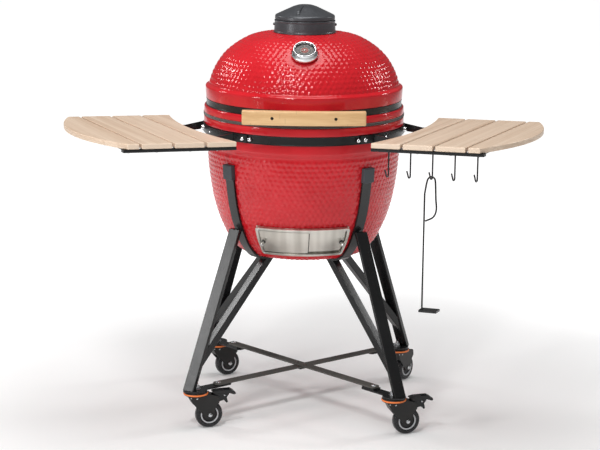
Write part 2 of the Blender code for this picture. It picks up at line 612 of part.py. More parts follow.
def make_shelf(side_name, side, black, bamboo):
    place = shelf_place(side)
    level = shelf_place(side, tilted=False)
    body = f"shelf_{side_name}_body"
    across = even(-SHELF_HALF, SHELF_HALF, 8)
    starts = [None] + [gap + PLANK_GAP / 2 for gap in PLANK_GAPS]
    ends = [gap - PLANK_GAP / 2 for gap in PLANK_GAPS] + [None]
    for i, (start, end) in enumerate(zip(starts, ends)):
        near = [(edge(SHELF_INNER, q), q) for q in across] if start is None else [(start, q) for q in across[::8]]
        far = [(edge(SHELF_OUTER, q), q) for q in across] if end is None else [(end, q) for q in across[::8]]
        plank = extruded(near + far[::-1], -PLANK_T, 0, place)
        piece(f"shelf_{side_name}_plank_{i + 1}", plank, bamboo, body, smooth=False)
    under = -PLANK_T - GAP
    rails = [box((RAIL[0], q, under - RAIL_T), (RAIL[1], q + 0.018, under), place)
             for q in (-SHELF_HALF, SHELF_HALF - 0.018)]
    ties = [box((p, -SHELF_HALF + 0.004, under - RAIL_T + 0.001), (p + 0.022, SHELF_HALF - 0.004, under - 0.001),
                place) for p in (0.345, 0.574)]
    pivot_p, pivot_z = SHELF_PIVOT
    lugs = []
    for q in BRACKET_ARMS:
        q += 0.009 if q > 0 else -0.009
        eye = arc(SHELF_PIVOT, 0.0080, 115, 270, 6)
        lug = eye + [(0.352, 0.7835), (0.366, 0.7845), (0.366, 0.7915), (0.330, 0.7915)]
        lugs.append(extruded(lug, q - 0.0025, q + 0.0025, lambda p, z, c: level(p, c, z)))
    bore = rod(level(pivot_p, -0.17, pivot_z), level(pivot_p, 0.17, pivot_z), 0.0046, 12)
    piece(f"shelf_{side_name}_frame", rails[0], black, body, add=[rails[1]] + ties + lugs, cut=[bore], smooth=False)

    arms, turns = [], []
    for q in BRACKET_ARMS:
        reach = arc(SHELF_PIVOT, 0.0080, -80, 80, 5)
        start = (0.2738 ** 2 - q * q) ** 0.5 + 0.0012
        arm = [(start, 0.8045), (start, 0.7830)] + reach
        arms.append(extruded(arm, q - 0.0025, q + 0.0025, lambda p, z, c: level(p, c, z)))
        turns.append(pi / 2 - SHELF_TURN + atan2(q, start) + radians(10) * (1 if q > 0 else -1))
    strip = sector([(0.2722, 0.7828), (0.2757, 0.7828), (0.2757, 0.8046), (0.2722, 0.8046)],
                   side * turns[0], side * turns[1], 8)
    arms.append(strip)
    shaft = rod(level(pivot_p, -0.135, pivot_z), level(pivot_p, 0.145, pivot_z), 0.0036, 12)
    piece(f"shelf_{side_name}_bracket", arms[0], black, add=arms[1:] + [shaft], smooth=False)


def make_hooks_and_tool(black):
    place = shelf_place(1)
    under = -PLANK_T - GAP - RAIL_T - GAP
    wire_r = 0.0021
    q = -SHELF_HALF + 0.004
    for i in range(HOOK_COUNT):
        p = HOOK_FIRST + HOOK_PITCH * i
        bend = arc((q - 0.0055, under - HOOK_DROP + 0.0055), 0.0055, 0, -140, 4)
        route = [(q, under)] + bend + [(q - 0.024, under - HOOK_DROP + 0.0200)]
        hook = wire([place(p, a, b) for a, b in route], wire_r, 6)
        piece(f"hook_{i + 1}", hook, black, "shelf_right_body")
    p = HOOK_FIRST + HOOK_PITCH * TOOL_HOOK
    rest = under - HOOK_DROP + wire_r + GAP
    hang = q - 0.0055
    tool_r = 0.0023
    top = rest + tool_r + 0.0015
    shaft = p - 0.0175
    loop = [(p + 0.0110, top - 0.016), (p + 0.0080, top - 0.004), (p, top), (p - 0.0080, top - 0.004),
            (p - 0.0125, top - 0.016)]
    route = [(shaft + 0.004, top - 0.115), (p + 0.0070, top - 0.104), (p + 0.0150, top - 0.085),
             (p + 0.0130, top - 0.055)] + loop + [(shaft, top - 0.045), (shaft, top - TOOL_DROP)]
    handle = wire([place(a, hang, b) for a, b in route], tool_r, 6)
    blade = box((shaft - 0.003, hang - 0.0180, top - TOOL_DROP - 0.006),
                (shaft + 0.046, hang + 0.0100, top - TOOL_DROP - 0.0035 + 0.004), place)
    piece("ash_tool", handle, black, "ash_tool_body", add=[blade])


def build():
    clear_scene()
    red = material("red_glaze", RED, 0.12)
    black = material("black_steel", BLACK, 0.42, 0.2)
    felt = material("gasket_felt", (0.09, 0.06, 0.05), 0.95)
    clay = material("fire_clay", (0.62, 0.52, 0.42), 0.85)
    iron = material("cast_iron", (0.05, 0.052, 0.058), 0.38, 0.6)
    steel = material("stainless_steel", STEEL, 0.30, 1.0)
    bamboo = material("bamboo", BAMBOO, 0.45)
    rubber = material("grey_rubber", GREY, 0.7)
    tyre = material("caster_tyre", (0.025, 0.025, 0.027), 0.35)

    pivot("grill", (0, AXIS_Y, 0))
    pivot("lid_body", (0, HINGE_Y, SPLIT_Z), "grill")
    pivot("vent_cover_body", (0, 0, 1.0856), "lid_body")
    pivot("cooking_grate_body", (0, 0, 0.7950), "grill")
    pivot("draft_door_left_body", (0, 0, 0.4900), "grill")
    pivot("draft_door_right_body", (0, 0, 0.4900), "grill")
    for name, side in (("left", -1), ("right", 1)):
        level = shelf_place(side, tilted=False)
        pivot(f"shelf_{name}_body", level(SHELF_PIVOT[0], 0, SHELF_PIVOT[1]), "grill")
    pivot("ash_tool_body", pivots["shelf_right_body"][1], "shelf_right_body")

    make_bowl(red)
    make_lid(red)
    make_bands(black, felt)
    make_fire_parts(clay, iron, steel)
    make_gauge(steel)
    make_top_vent(iron)
    make_hinge(black, steel)
    make_handle(bamboo, black)
    make_draft(steel)
    make_stand(black, rubber)
    make_casters(black, tyre)
    make_shelf("left", -1, black, bamboo)
    make_shelf("right", 1, black, bamboo)
    make_hooks_and_tool(black)


build()
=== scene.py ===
"""The looks of a ceramic charcoal grill on a caster stand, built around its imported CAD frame.

Lengths are metres. Every shape is written from the bowl's upright axis, front towards -y.
"""

import random
from math import asin, atan2, ceil, cos, degrees, hypot, pi, radians, sin, tan

import bmesh
import bpy
import numpy as np
from mathutils import Matrix, Vector


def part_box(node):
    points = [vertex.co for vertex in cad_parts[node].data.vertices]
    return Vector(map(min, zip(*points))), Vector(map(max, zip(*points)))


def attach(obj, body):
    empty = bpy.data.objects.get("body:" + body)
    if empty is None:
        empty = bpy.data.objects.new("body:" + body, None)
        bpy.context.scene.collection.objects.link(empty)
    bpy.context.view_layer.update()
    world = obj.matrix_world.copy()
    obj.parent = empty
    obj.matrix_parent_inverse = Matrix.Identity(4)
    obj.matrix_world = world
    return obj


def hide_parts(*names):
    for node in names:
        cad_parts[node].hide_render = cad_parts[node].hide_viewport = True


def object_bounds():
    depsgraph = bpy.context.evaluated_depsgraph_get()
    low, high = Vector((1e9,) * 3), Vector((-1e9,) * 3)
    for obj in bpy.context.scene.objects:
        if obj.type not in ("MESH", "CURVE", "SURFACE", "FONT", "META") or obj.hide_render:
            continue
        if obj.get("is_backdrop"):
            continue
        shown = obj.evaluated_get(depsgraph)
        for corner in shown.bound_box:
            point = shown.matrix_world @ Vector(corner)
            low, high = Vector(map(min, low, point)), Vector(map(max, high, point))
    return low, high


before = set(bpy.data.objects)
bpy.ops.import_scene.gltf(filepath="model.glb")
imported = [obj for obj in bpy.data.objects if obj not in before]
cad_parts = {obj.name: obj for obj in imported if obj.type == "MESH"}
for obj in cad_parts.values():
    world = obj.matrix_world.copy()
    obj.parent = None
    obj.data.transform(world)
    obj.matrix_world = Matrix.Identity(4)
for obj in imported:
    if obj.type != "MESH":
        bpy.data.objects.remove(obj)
cad_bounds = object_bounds()
scene = bpy.context.scene
bowl_low, bowl_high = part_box("bowl")
AXIS_Y = (bowl_low.y + bowl_high.y) / 2
AXIS = Matrix.Translation((0, AXIS_Y, 0))

# The ceramic: outlines are (radius, height), bands are (low, high).
SPLIT_Z = 0.832
RIM_R = 0.273
SEAT_R = 0.2675
LID_SEAT_R = 0.2625
BOWL_BAND = (0.7815, 0.8060)
LID_BAND = (0.8550, 0.8740)
BOWL_OUTSIDE = [(0.2609, 0.7260), (0.2567, 0.6770), (0.2470, 0.6130), (0.2342, 0.5635), (0.2172, 0.5205),
                (0.2010, 0.4900), (0.1750, 0.4610), (0.1500, 0.4520)]
BOWL_INSIDE = [(0.1420, 0.4760), (0.1640, 0.4870), (0.1945, 0.5350), (0.2215, 0.6000), (0.2340, 0.6770),
               (0.2430, 0.7500), (0.2470, 0.8280)]
LID_OUTSIDE = [(0.2556, 0.9200), (0.2474, 0.9440), (0.2310, 0.9740), (0.2090, 1.0000), (0.1770, 1.0240),
               (0.1390, 1.0420), (0.0900, 1.0500), (0.0600, 1.0505)]
LID_INSIDE = [(0.1350, 1.0190), (0.1680, 1.0030), (0.1970, 0.9790), (0.2170, 0.9540), (0.2320, 0.9250),
              (0.2430, 0.9000), (0.2470, 0.8360)]
SKIN_SEGMENTS = 620       # columns round the lid and the bowl
SKIN_STEP = 0.0025        # rows up their skin
PIMPLE_PITCH = 0.0148
PIMPLE_ROW = 0.0129
PIMPLE_SIZE = 0.0072
PIMPLE_HEIGHT = 0.0017

# The lid's hardware.
HINGE_Y = 0.305
HANDLE_HALF = 0.160
HANDLE_Z = (0.844, 0.881)
HANDLE_ARM_X = 0.082
GAUGE_SPOT = Vector((0, -0.1937, 1.0115))
GAUGE_LEAN = radians(56)

# The draft vent: it lies on the curve of DRAFT_SKIN, between two angles from the front.
DRAFT_HALF = radians(31.5)
DRAFT_SKIN = [(0.1910, 0.4790), (0.2172, 0.5205), (0.2325, 0.5585)]
DRAFT_SLOPE = radians(28)
DRAFT_DOORWAY = (0.4960, 0.5380)
DOORWAY_HALF = asin(0.080 / 0.2080)

# The stand: angles are degrees from the front, and the whole stand is turned a little under the bowl.
STAND_TURN = -4


def four_corners(front, rear):
    return {"front_left": STAND_TURN - front, "front_right": STAND_TURN + front,
            "rear_right": STAND_TURN + rear, "rear_left": STAND_TURN - rear}


STRAP_ANGLES = four_corners(44, 136)
FOOT_ANGLES = four_corners(47.4, 132.6)
LEG_FACINGS = four_corners(22, 158)
LEG_TOP = (0.2410, 0.5380)
LEG_FOOT = (0.3840, 0.1085)
LEG_TUBE = (0.031, 0.015)
STRUT_TOP = (0.1255, 0.4460)
STRUT_FOOT = 0.85
STRUT_TUBE = (0.024, 0.020)
FOOT_Z = 0.1045
TAB = (0.2480, 0.3990)
TAB_HALF = 0.0145
PLATE_R = 0.0310          # the round plate over a caster, in the middle of its tab
BAR_HALF = 0.3000
CASTER_REACH = 0.3624
CASTER_YAW = {"front_left": 18, "front_right": 19, "rear_right": 55, "rear_left": 33}
CASTER_TRAIL = 0.036
WHEEL_R = 0.0375
PEDAL = (0.057, 0.078)

# The shelves: places are (outwards, across), and a shelf's top slopes up outwards.
SHELF_TURN = radians(24.7)
SHELF_TILT = radians(2.0)
SHELF_PIVOT = (0.3050, 0.7880)
SHELF_HALF = 0.243
SHELF_TOP_Z = 0.8135
SHELF_TOP_AT = 0.515
PLANK_T = 0.014
PLANK_GAPS = (0.384, 0.472, 0.560)
PLANK_GAP = 0.0065
SHELF_INNER = (0.300, 0.333)
SHELF_OUTER = (0.595, 0.662)
RAIL = (0.300, 0.606)
RAIL_T = 0.008
BRACKET_ARMS = (-0.105, 0.115)
BRACKET_R = 0.2757
BRACKET_BOLTS = {"left": ((30.9, 0.0056), (35.9, 0.0056), (65.5, 0.0034), (81.8, 0.0082), (101.0, 0.0056)),
                 "right": ((31.2, 0.0056), (35.8, 0.0056), (52.0, 0.0034), (81.7, 0.0082), (101.0, 0.0056))}
HOOKS = [0.349 + 0.060 * i for i in range(5)]
HOOK_Q = -0.239
HOOK_DROP = 0.062
TOOL_HOOK = 2
TOOL_DROP = 0.345

# The camera stands in front, AXIS_Y further back than these places say, and is rolled a little.
CAMERA_REACH = 5.2
CAMERA_UP = radians(12.03)
CAMERA_ROLL = radians(0.647)
CAMERA_AIM = (-0.00716, 0.0, 0.516)
CAMERA_LENS = 112.7


# ---- finishes ----

class Finish:
    """A node material: one Principled shader with patterns on the piece's own coordinates."""

    def __init__(self, name, colour, roughness, metallic=0.0, **inputs):
        self.material = bpy.data.materials.new(name)
        self.material.use_nodes = True
        self.tree = self.material.node_tree
        self.tree.nodes.clear()
        self.shader = self.node("ShaderNodeBsdfPrincipled")
        self.join(self.shader.outputs[0], self.node("ShaderNodeOutputMaterial").inputs[0])
        self.coords = self.node("ShaderNodeTexCoord")
        self.spot = self.coords.outputs["Object"]
        self.set("Base Color", (*colour, 1.0))
        self.set("Roughness", roughness)
        self.set("Metallic", metallic)
        for label, value in inputs.items():
            self.set(label.replace("_", " "), value)

    def node(self, kind, **settings):
        node = self.tree.nodes.new(kind)
        for label, value in settings.items():
            setattr(node, label, value)
        return node

    def join(self, start, end):
        self.tree.links.new(start, end)

    def feed(self, socket, value):
        """Joins another node's output to a socket, or sets its plain value."""
        if isinstance(value, bpy.types.NodeSocket):
            self.join(value, socket)
        elif isinstance(value, tuple) and len(value) == 3 and len(getattr(socket, "default_value", value)) == 4:
            socket.default_value = (*value, 1.0)
        else:
            socket.default_value = value

    def set(self, label, value):
        self.feed(self.shader.inputs[label], value)

    def math(self, operation, a, b=0.0, clamp=False):
        node = self.node("ShaderNodeMath", operation=operation, use_clamp=clamp)
        self.feed(node.inputs[0], a)
        self.feed(node.inputs[1], b)
        return node.outputs[0]

    def split(self, vector):
        node = self.node("ShaderNodeSeparateXYZ")
        self.join(vector, node.inputs[0])
        return node.outputs

    def stretched(self, scale):
        """The piece's coordinates with each axis scaled."""
        node = self.node("ShaderNodeMapping")
        self.join(self.spot, node.inputs["Vector"])
        node.inputs["Scale"].default_value = scale
        return node.outputs[0]

    def spun(self, vector, angle):
        """The vector turned about Z."""
        node = self.node("ShaderNodeVectorRotate", rotation_type="Z_AXIS")
        self.feed(node.inputs["Vector"], vector)
        self.feed(node.inputs["Angle"], angle)
        return node.outputs[0]

    def noise(self, scale, detail=3.0, stretch=(1, 1, 1), rough=0.55, warp=0.0):
        node = self.node("ShaderNodeTexNoise")
        self.join(self.stretched(stretch), node.inputs["Vector"])
        for label, value in (("Scale", scale), ("Detail", detail), ("Roughness", rough), ("Distortion", warp)):
            node.inputs[label].default_value = value
        return node.outputs["Fac"]

    def between(self, factor, low, high, start=0.0, end=1.0, how="LINEAR"):
        """Goes from low to high as factor goes from start to end."""
        node = self.node("ShaderNodeMapRange", interpolation_type=how)
        for label, value in (("Value", factor), ("From Min", start), ("From Max", end),
                             ("To Min", low), ("To Max", high)):
            self.feed(node.inputs[label], value)
        return node.outputs[0]

    def blend(self, factor, a, b):
        """Goes from colour a to colour b as factor goes from 0 to 1."""
        node = self.node("ShaderNodeMix", data_type="RGBA")
        self.feed(node.inputs[0], factor)
        self.feed(node.inputs[6], a)
        self.feed(node.inputs[7], b)
        return node.outputs[2]

    def bump(self, height, distance, strength=1.0):
        node = self.node("ShaderNodeBump")
        self.feed(node.inputs["Height"], height)
        node.inputs["Distance"].default_value = distance
        node.inputs["Strength"].default_value = strength
        self.set("Normal", node.outputs[0])


def make_glaze():
    f = Finish("red_glaze", (0.56, 0.012, 0.020), 0.10, Specular_IOR_Level=0.30)
    cloud = f.noise(9.0, 3)
    f.set("Base Color", f.blend(f.between(cloud, 0, 1, 0.35, 0.65), (0.50, 0.011, 0.017), (0.58, 0.016, 0.024)))
    f.set("Roughness", f.between(f.noise(60, 2), 0.07, 0.15))
    edge = f.node("ShaderNodeLayerWeight")
    edge.inputs["Blend"].default_value = 0.5
    f.set("Specular IOR Level", f.between(edge.outputs["Facing"], 0.40, 0.06, 0.35, 0.90))
    f.bump(f.noise(140, 2), 0.00010)
    return f.material


def make_powder_coat(name, colour, roughness):
    f = Finish(name, colour, roughness, Specular_IOR_Level=0.38)
    dust = f.noise(7.0, 4)
    light = tuple(c * 1.35 + 0.002 for c in colour)
    f.set("Base Color", f.blend(f.between(dust, 0, 1, 0.35, 0.7), colour, light))
    f.set("Roughness", f.between(f.noise(45, 3), roughness - 0.03, roughness + 0.04))
    f.bump(f.noise(1400, 2), 0.00002, 0.5)
    return f.material


def make_casting():
    f = Finish("vent_casting", (0.035, 0.038, 0.044), 0.34, 0.35)
    f.set("Base Color", f.blend(f.noise(30, 4), (0.045, 0.048, 0.054), (0.085, 0.089, 0.097)))
    f.set("Roughness", f.between(f.noise(120, 3), 0.28, 0.42))
    f.bump(f.noise(420, 4), 0.00035, 0.7)
    return f.material


def make_iron():
    f = Finish("grate_iron", (0.030, 0.029, 0.028), 0.62, 0.3)
    f.set("Base Color", f.blend(f.noise(25, 5), (0.020, 0.019, 0.018), (0.060, 0.050, 0.043)))
    f.bump(f.noise(500, 4), 0.0006, 0.8)
    return f.material


def make_metal(name, colour, roughness, stretch=(1, 1, 1), spread=0.08, depth=0.00004):
    """A bare metal; stretch squeezes the grain, so that a brushed one has long scratches."""
    f = Finish(name, colour, roughness, 1.0)
    grain = f.noise(300, 4, stretch)
    dark = tuple(c * 0.82 for c in colour)
    f.set("Base Color", f.blend(f.between(grain, 0, 1, 0.3, 0.7), dark, colour))
    f.set("Roughness", f.between(grain, roughness - spread / 2, roughness + spread))
    f.bump(grain, depth)
    return f.material


def make_brushed():
    f = Finish("draft_steel", (0.78, 0.75, 0.70), 0.27, 1.0)
    # painted reflection: the colour's slow vertical streaks copy the bands of light reflected by the curved doors, and
    # the same streaks vary the roughness; hair is the fine brushing
    painted_reflection_streaks = f.noise(26, 2, (1, 0.15, 0.05))
    hair = f.noise(900, 3, (1, 1, 0.03))
    f.set("Base Color", f.blend(f.between(painted_reflection_streaks, 0, 1, 0.35, 0.65), (0.42, 0.395, 0.35), (0.68, 0.655, 0.60)))
    f.set("Roughness", f.math("ADD", f.between(hair, 0.0, 0.16), f.between(painted_reflection_streaks, 0.20, 0.30, 0.35, 0.65)))
    f.bump(hair, 0.00003)
    return f.material


def make_felt():
    f = Finish("gasket_felt", (0.060, 0.045, 0.040), 0.95, Sheen_Weight=0.3)
    f.set("Base Color", f.blend(f.noise(260, 4), (0.035, 0.026, 0.023), (0.105, 0.082, 0.072)))
    f.bump(f.noise(900, 3, (1, 1, 2.5)), 0.0008)
    return f.material


def make_clay(name, colour, grain):
    f = Finish(name, colour, 0.85)
    cloud = f.noise(14, 5)
    f.set("Base Color", f.blend(cloud, tuple(c * 0.72 for c in colour), tuple(min(1, c * 1.12) for c in colour)))
    f.bump(f.math("ADD", f.noise(grain, 4), f.noise(90, 2)), 0.0007)
    return f.material


def make_bamboo(name, along, light, dark, strip, turn=0.0):
    """Glued strips of a width; the fibres follow the axis along, after turn has squared the piece's coordinates."""
    f = Finish(name, light, 0.42, Coat_Weight=0.12, Coat_Roughness=0.25)
    f.spot = f.spun(f.spot, turn)
    axes = f.split(f.spot)
    length, wide = (axes[0], axes[2]) if along == "X" else (axes[1], axes[0])
    number = f.math("FLOOR", f.math("DIVIDE", wide, strip))
    tone = f.node("ShaderNodeTexWhiteNoise", noise_dimensions="1D")
    f.join(number, tone.inputs["W"])
    squeeze = (5, 240, 240) if along == "X" else (240, 5, 240)
    fibre = f.noise(1.0, 4, squeeze, 0.6)
    flame = f.noise(1.0, 3, tuple(v / 5 for v in squeeze), 0.5, 0.6)
    shade = f.math("ADD", f.between(tone.outputs["Value"], 0.0, 0.42), f.between(fibre, -0.12, 0.50, 0.3, 0.7))
    shade = f.math("ADD", shade, f.between(flame, -0.12, 0.30, 0.3, 0.7), clamp=True)
    colour = f.blend(shade, light, dark)
    stagger = f.math("MULTIPLY", f.math("FRACT", f.math("MULTIPLY", tone.outputs["Value"], 7.3)), 0.25)
    joint = f.math("FRACT", f.math("DIVIDE", f.math("ADD", length, stagger), 0.25))
    knuckle = f.math("LESS_THAN", joint, 0.007)
    colour = f.blend(f.math("MULTIPLY", knuckle, 0.35), colour, tuple(c * 0.55 for c in dark))
    facing = f.split(f.spun(f.coords.outputs["Normal"], turn))[0 if along == "X" else 1]
    ends = f.between(f.math("ABSOLUTE", facing), 0.0, 1.0, 0.6, 0.85)
    pores = f.noise(700, 2)
    end_grain = f.blend(pores, tuple(c * 1.08 for c in light), tuple(c * 0.86 for c in light))
    f.set("Base Color", f.blend(ends, colour, end_grain))
    f.set("Roughness", f.between(fibre, 0.36, 0.52))
    f.bump(fibre, 0.00018)
    return f.material


def make_plastic(name, colour, roughness, depth=0.00006, scale=500):
    f = Finish(name, colour, roughness, Specular_IOR_Level=0.36)
    f.set("Base Color", f.blend(f.noise(18, 3), tuple(c * 0.85 for c in colour), tuple(c * 1.15 for c in colour)))
    f.set("Roughness", f.between(f.noise(80, 3), roughness - 0.05, roughness + 0.06))
    f.bump(f.noise(scale, 3), depth)
    return f.material


GLAZE = make_glaze()
RAW_CLAY = make_clay("raw_ceramic", (0.50, 0.40, 0.31), 420)
FIRE_CLAY = make_clay("fire_clay", (0.56, 0.47, 0.37), 600)
POWDER = make_powder_coat("black_powder_coat", (0.0085, 0.0087, 0.0092), 0.25)
BRACE = make_powder_coat("brace_coat", (0.068, 0.065, 0.059), 0.40)
CASTING = make_casting()
IRON = make_iron()
CHROME = make_metal("chrome", (0.82, 0.83, 0.84), 0.08, spread=0.05, depth=0.00001)
STEEL = make_metal("bare_steel", (0.62, 0.61, 0.59), 0.26, (1, 0.1, 1))
ZINC = make_metal("zinc_plate", (0.66, 0.68, 0.70), 0.26, depth=0.00006)
BRUSHED = make_brushed()
FELT = make_felt()
SHELF_BAMBOO = {side: make_bamboo(f"shelf_bamboo_{name}", "Y", (0.77, 0.61, 0.47), (0.60, 0.43, 0.30), 0.0185,
                                  side * SHELF_TURN) for name, side in (("left", -1), ("right", 1))}
GRIP_BAMBOO = make_bamboo("grip_bamboo", "X", (0.74, 0.49, 0.25), (0.58, 0.34, 0.145), 0.0125)
RUBBER = make_plastic("leg_rubber", (0.045, 0.052, 0.060), 0.50, 0.0001, 900)
TYRE = make_plastic("caster_tyre", (0.016, 0.016, 0.018), 0.26)
NYLON = make_plastic("pedal_nylon", (0.013, 0.013, 0.014), 0.36)
FORK = make_plastic("fork_coat", (0.014, 0.0135, 0.013), 0.34)
RIM_GREY = make_plastic("wheel_ring", (0.55, 0.56, 0.58), 0.35)
SEAL = make_plastic("orange_seal", (0.92, 0.23, 0.055), 0.40)
DIAL = make_plastic("dial_black", (0.020, 0.018, 0.018), 0.15)
DIAL_INK = make_plastic("dial_ink", (0.36, 0.32, 0.28), 0.4)
DIAL_RED = make_plastic("dial_red", (0.24, 0.045, 0.032), 0.25)


# ---- shapes: each is (points, faces), closed ----

def outward(points, faces):
    """The same shape with its faces turned outwards."""
    points = np.asarray(points, float)
    volume = 0.0
    centre = points.mean(0)
    for face in faces:
        corners = points[list(face)] - centre
        volume += float((np.cross(corners[1:-1], corners[2:]) @ corners[0]).sum())
    if volume < 0:
        faces = [tuple(reversed(face)) for face in faces]
    return [tuple(p) for p in points], faces


def placed(shape, place):
    """A shape moved by a matrix or by a function of (a, b, c)."""
    points, faces = shape
    if isinstance(place, Matrix):
        return outward([place @ Vector(p) for p in points], faces)
    return outward([place(*p) for p in points], faces)


def fillet(points, radius, steps=4, closed=True, radii=None):
    """Rounds the corners of a route or an outline; radii gives some corners their own radius."""
    corners = [Vector(p) for p in points]
    route = []
    for i, here in enumerate(corners):
        size = (radii or {}).get(i, radius)
        if size <= 0 or (not closed and i in (0, len(corners) - 1)):
            route.append(here)
            continue
        back, on = corners[i - 1] - here, corners[(i + 1) % len(corners)] - here
        size = min(size, back.length * 0.48, on.length * 0.48)
        if back.angle(on) > radians(176):
            route.append(here)
            continue
        start, end = here + back.normalized() * size, here + on.normalized() * size
        for k in range(steps + 1):
            t = k / steps
            route.append(start * (1 - t) ** 2 + here * 2 * t * (1 - t) + end * t * t)
    return [tuple(p) for p in route]


def spline(points, step):
    """Even points along a smooth curve through the given ones."""
    knots = [Vector(p) for p in points]
    knots = [knots[0] * 2 - knots[1]] + knots + [knots[-1] * 2 - knots[-2]]
    dense = []
    for a, b, c, d in zip(knots, knots[1:], knots[2:], knots[3:]):
        for k in range(24):
            t = k / 24
            dense.append(0.5 * (b * 2 + (c - a) * t + (a * 2 - b * 5 + c * 4 - d) * t * t
                                + (b * 3 - a - c * 3 + d) * t ** 3))
    dense.append(knots[-2])
    dense = np.array([tuple(p) for p in dense])
    run = np.concatenate([[0], np.cumsum(np.linalg.norm(np.diff(dense, axis=0), axis=1))])
    spots = np.linspace(0, run[-1], max(2, round(run[-1] / step) + 1))
    return [tuple(float(np.interp(s, run, dense[:, k])) for k in range(dense.shape[1])) for s in spots]


def joined(shapes):
    """Several closed shapes as one."""
    points, faces = [], []
    for more_points, more_faces in shapes:
        faces += [tuple(len(points) + v for v in face) for face in more_faces]
        points += more_points
    return points, faces


def offset(route, distance):
    """A flat route moved sideways, to the left of its direction."""
    moved = []
    for i, point in enumerate(route):
        before, after = Vector(route[max(i - 1, 0)]), Vector(route[min(i + 1, len(route) - 1)])
        along = (after - before).normalized()
        moved.append((point[0] - along.y * distance, point[1] + along.x * distance))
    return moved


def arc(centre, radius, start, end, steps):
    """Points round a centre between two angles in degrees."""
    turns = [radians(start + (end - start) * i / steps) for i in range(steps + 1)]
    return [(centre[0] + radius * cos(t), centre[1] + radius * sin(t)) for t in turns]


def even(start, end, steps):
    """Evenly spaced values, both ends included."""
    return [start + (end - start) * i / steps for i in range(steps + 1)]


def turned(profile, segments=64, ring=False):
    """An outline of (radius, height) turned round the z axis. A ring joins its end to its start."""
    points, faces, rows = [], [], []
    for r, z in profile:
        if r < 1e-6:
            rows.append([len(points)] * segments)
            points.append((0.0, 0.0, z))
        else:
            rows.append(list(range(len(points), len(points) + segments)))
            points += [(r * sin(2 * pi * k / segments), -r * cos(2 * pi * k / segments), z) for k in range(segments)]
    pairs = list(zip(rows, rows[1:])) + ([(rows[-1], rows[0])] if ring else [])
    for low, high in pairs:
        for k in range(segments):
            n = (k + 1) % segments
            face = list(dict.fromkeys((low[k], low[n], high[n], high[k])))
            if len(face) > 2:
                faces.append(tuple(face))
    return outward(points, faces)


def prism(outline, low, high, place=None, bevel=0.0008, steps=2):
    """An outline made into a solid from low to high, with its sharp edges rounded."""
    shape = bmesh.new()
    bottom = [shape.verts.new((a, b, low)) for a, b in outline]
    top = [shape.verts.new((a, b, high)) for a, b in outline]
    shape.faces.new(bottom[::-1])
    shape.faces.new(top)
    for i in range(len(outline)):
        j = (i + 1) % len(outline)
        shape.faces.new((bottom[i], bottom[j], top[j], top[i]))
    shape.normal_update()
    sharp = [e for e in shape.edges if e.calc_face_angle(0) > radians(28)]
    if bevel:
        bmesh.ops.bevel(shape, geom=sharp, offset=bevel, segments=steps, profile=0.5, affect="EDGES",
                        clamp_overlap=True)
    shape.verts.index_update()
    points = [tuple(v.co) for v in shape.verts]
    faces = [tuple(v.index for v in f.verts) for f in shape.faces]
    shape.free()
    return placed((points, faces), place or Matrix.Identity(4))


def box(low, high, place=None, bevel=0.0008, steps=2):
    (x0, y0, z0), (x1, y1, z1) = low, high
    return prism([(x0, y0), (x1, y0), (x1, y1), (x0, y1)], z0, z1, place, bevel, steps)


def tube(route, radius, sides=12):
    """A round wire along a route, with slightly rounded ends."""
    path = [Vector(p) for p in route]
    along = [(path[min(i + 1, len(path) - 1)] - path[max(i - 1, 0)]).normalized() for i in range(len(path))]
    side = along[0].orthogonal().normalized()
    spots = [(path[0] - along[0] * radius * 0.3, radius * 0.72, along[0])]
    spots += [(p, radius, d) for p, d in zip(path, along)]
    spots.append((path[-1] + along[-1] * radius * 0.3, radius * 0.72, along[-1]))
    points, faces = [], []
    for spot, size, direction in spots:
        side = (side - direction * side.dot(direction)).normalized()
        up = direction.cross(side)
        points += [tuple(spot + (side * cos(t) + up * sin(t)) * size) for t in
                   (2 * pi * k / sides for k in range(sides))]
    for row in range(len(spots) - 1):
        for k in range(sides):
            n = (k + 1) % sides
            faces.append((row * sides + k, row * sides + n, (row + 1) * sides + n, (row + 1) * sides + k))
    faces += [tuple(range(sides))[::-1], tuple((len(spots) - 1) * sides + k for k in range(sides))]
    return outward(points, faces)


def facing(spot, axis, spin=0.0):
    """The matrix of a part that stands at spot with its z axis along axis."""
    turn = Vector(axis).normalized().to_track_quat("Z", "Y").to_matrix().to_4x4()
    return Matrix.Translation(spot) @ turn @ Matrix.Rotation(spin, 4, "Z")


def dome_bolt(spot, axis, size, height):
    """A round-headed bolt or rivet that stands at spot along axis."""
    profile = [(0, -0.001), (size, -0.001), (size, height * 0.20)]
    profile += [(size * cos(t), height * (0.2 + 0.8 * sin(t))) for t in even(0.25, pi / 2 - 0.2, 5)] + [(0, height)]
    return placed(turned(profile, 20), facing(spot, axis))


def hex_nut(spot, axis, size, height, stud):
    """A nut across its flats, on a washer, with the bolt's end standing out of it."""
    hexagon = [(size / 0.866 * cos(t), size / 0.866 * sin(t)) for t in even(0, 2 * pi * 5 / 6, 5)]
    place = facing(spot, axis, 0.4)
    washer = [(0, -0.001), (size * 1.45, -0.001), (size * 1.45, 0.0009), (size * 1.38, 0.0013), (0, 0.0013)]
    end = [(0, 0), (size * 0.56, 0), (size * 0.56, height + stud - 0.001), (size * 0.45, height + stud),
           (0, height + stud)]
    return [placed(turned(washer, 24), place), prism(hexagon, 0.0010, height, place, 0.0009),
            placed(turned(end, 16), place)]


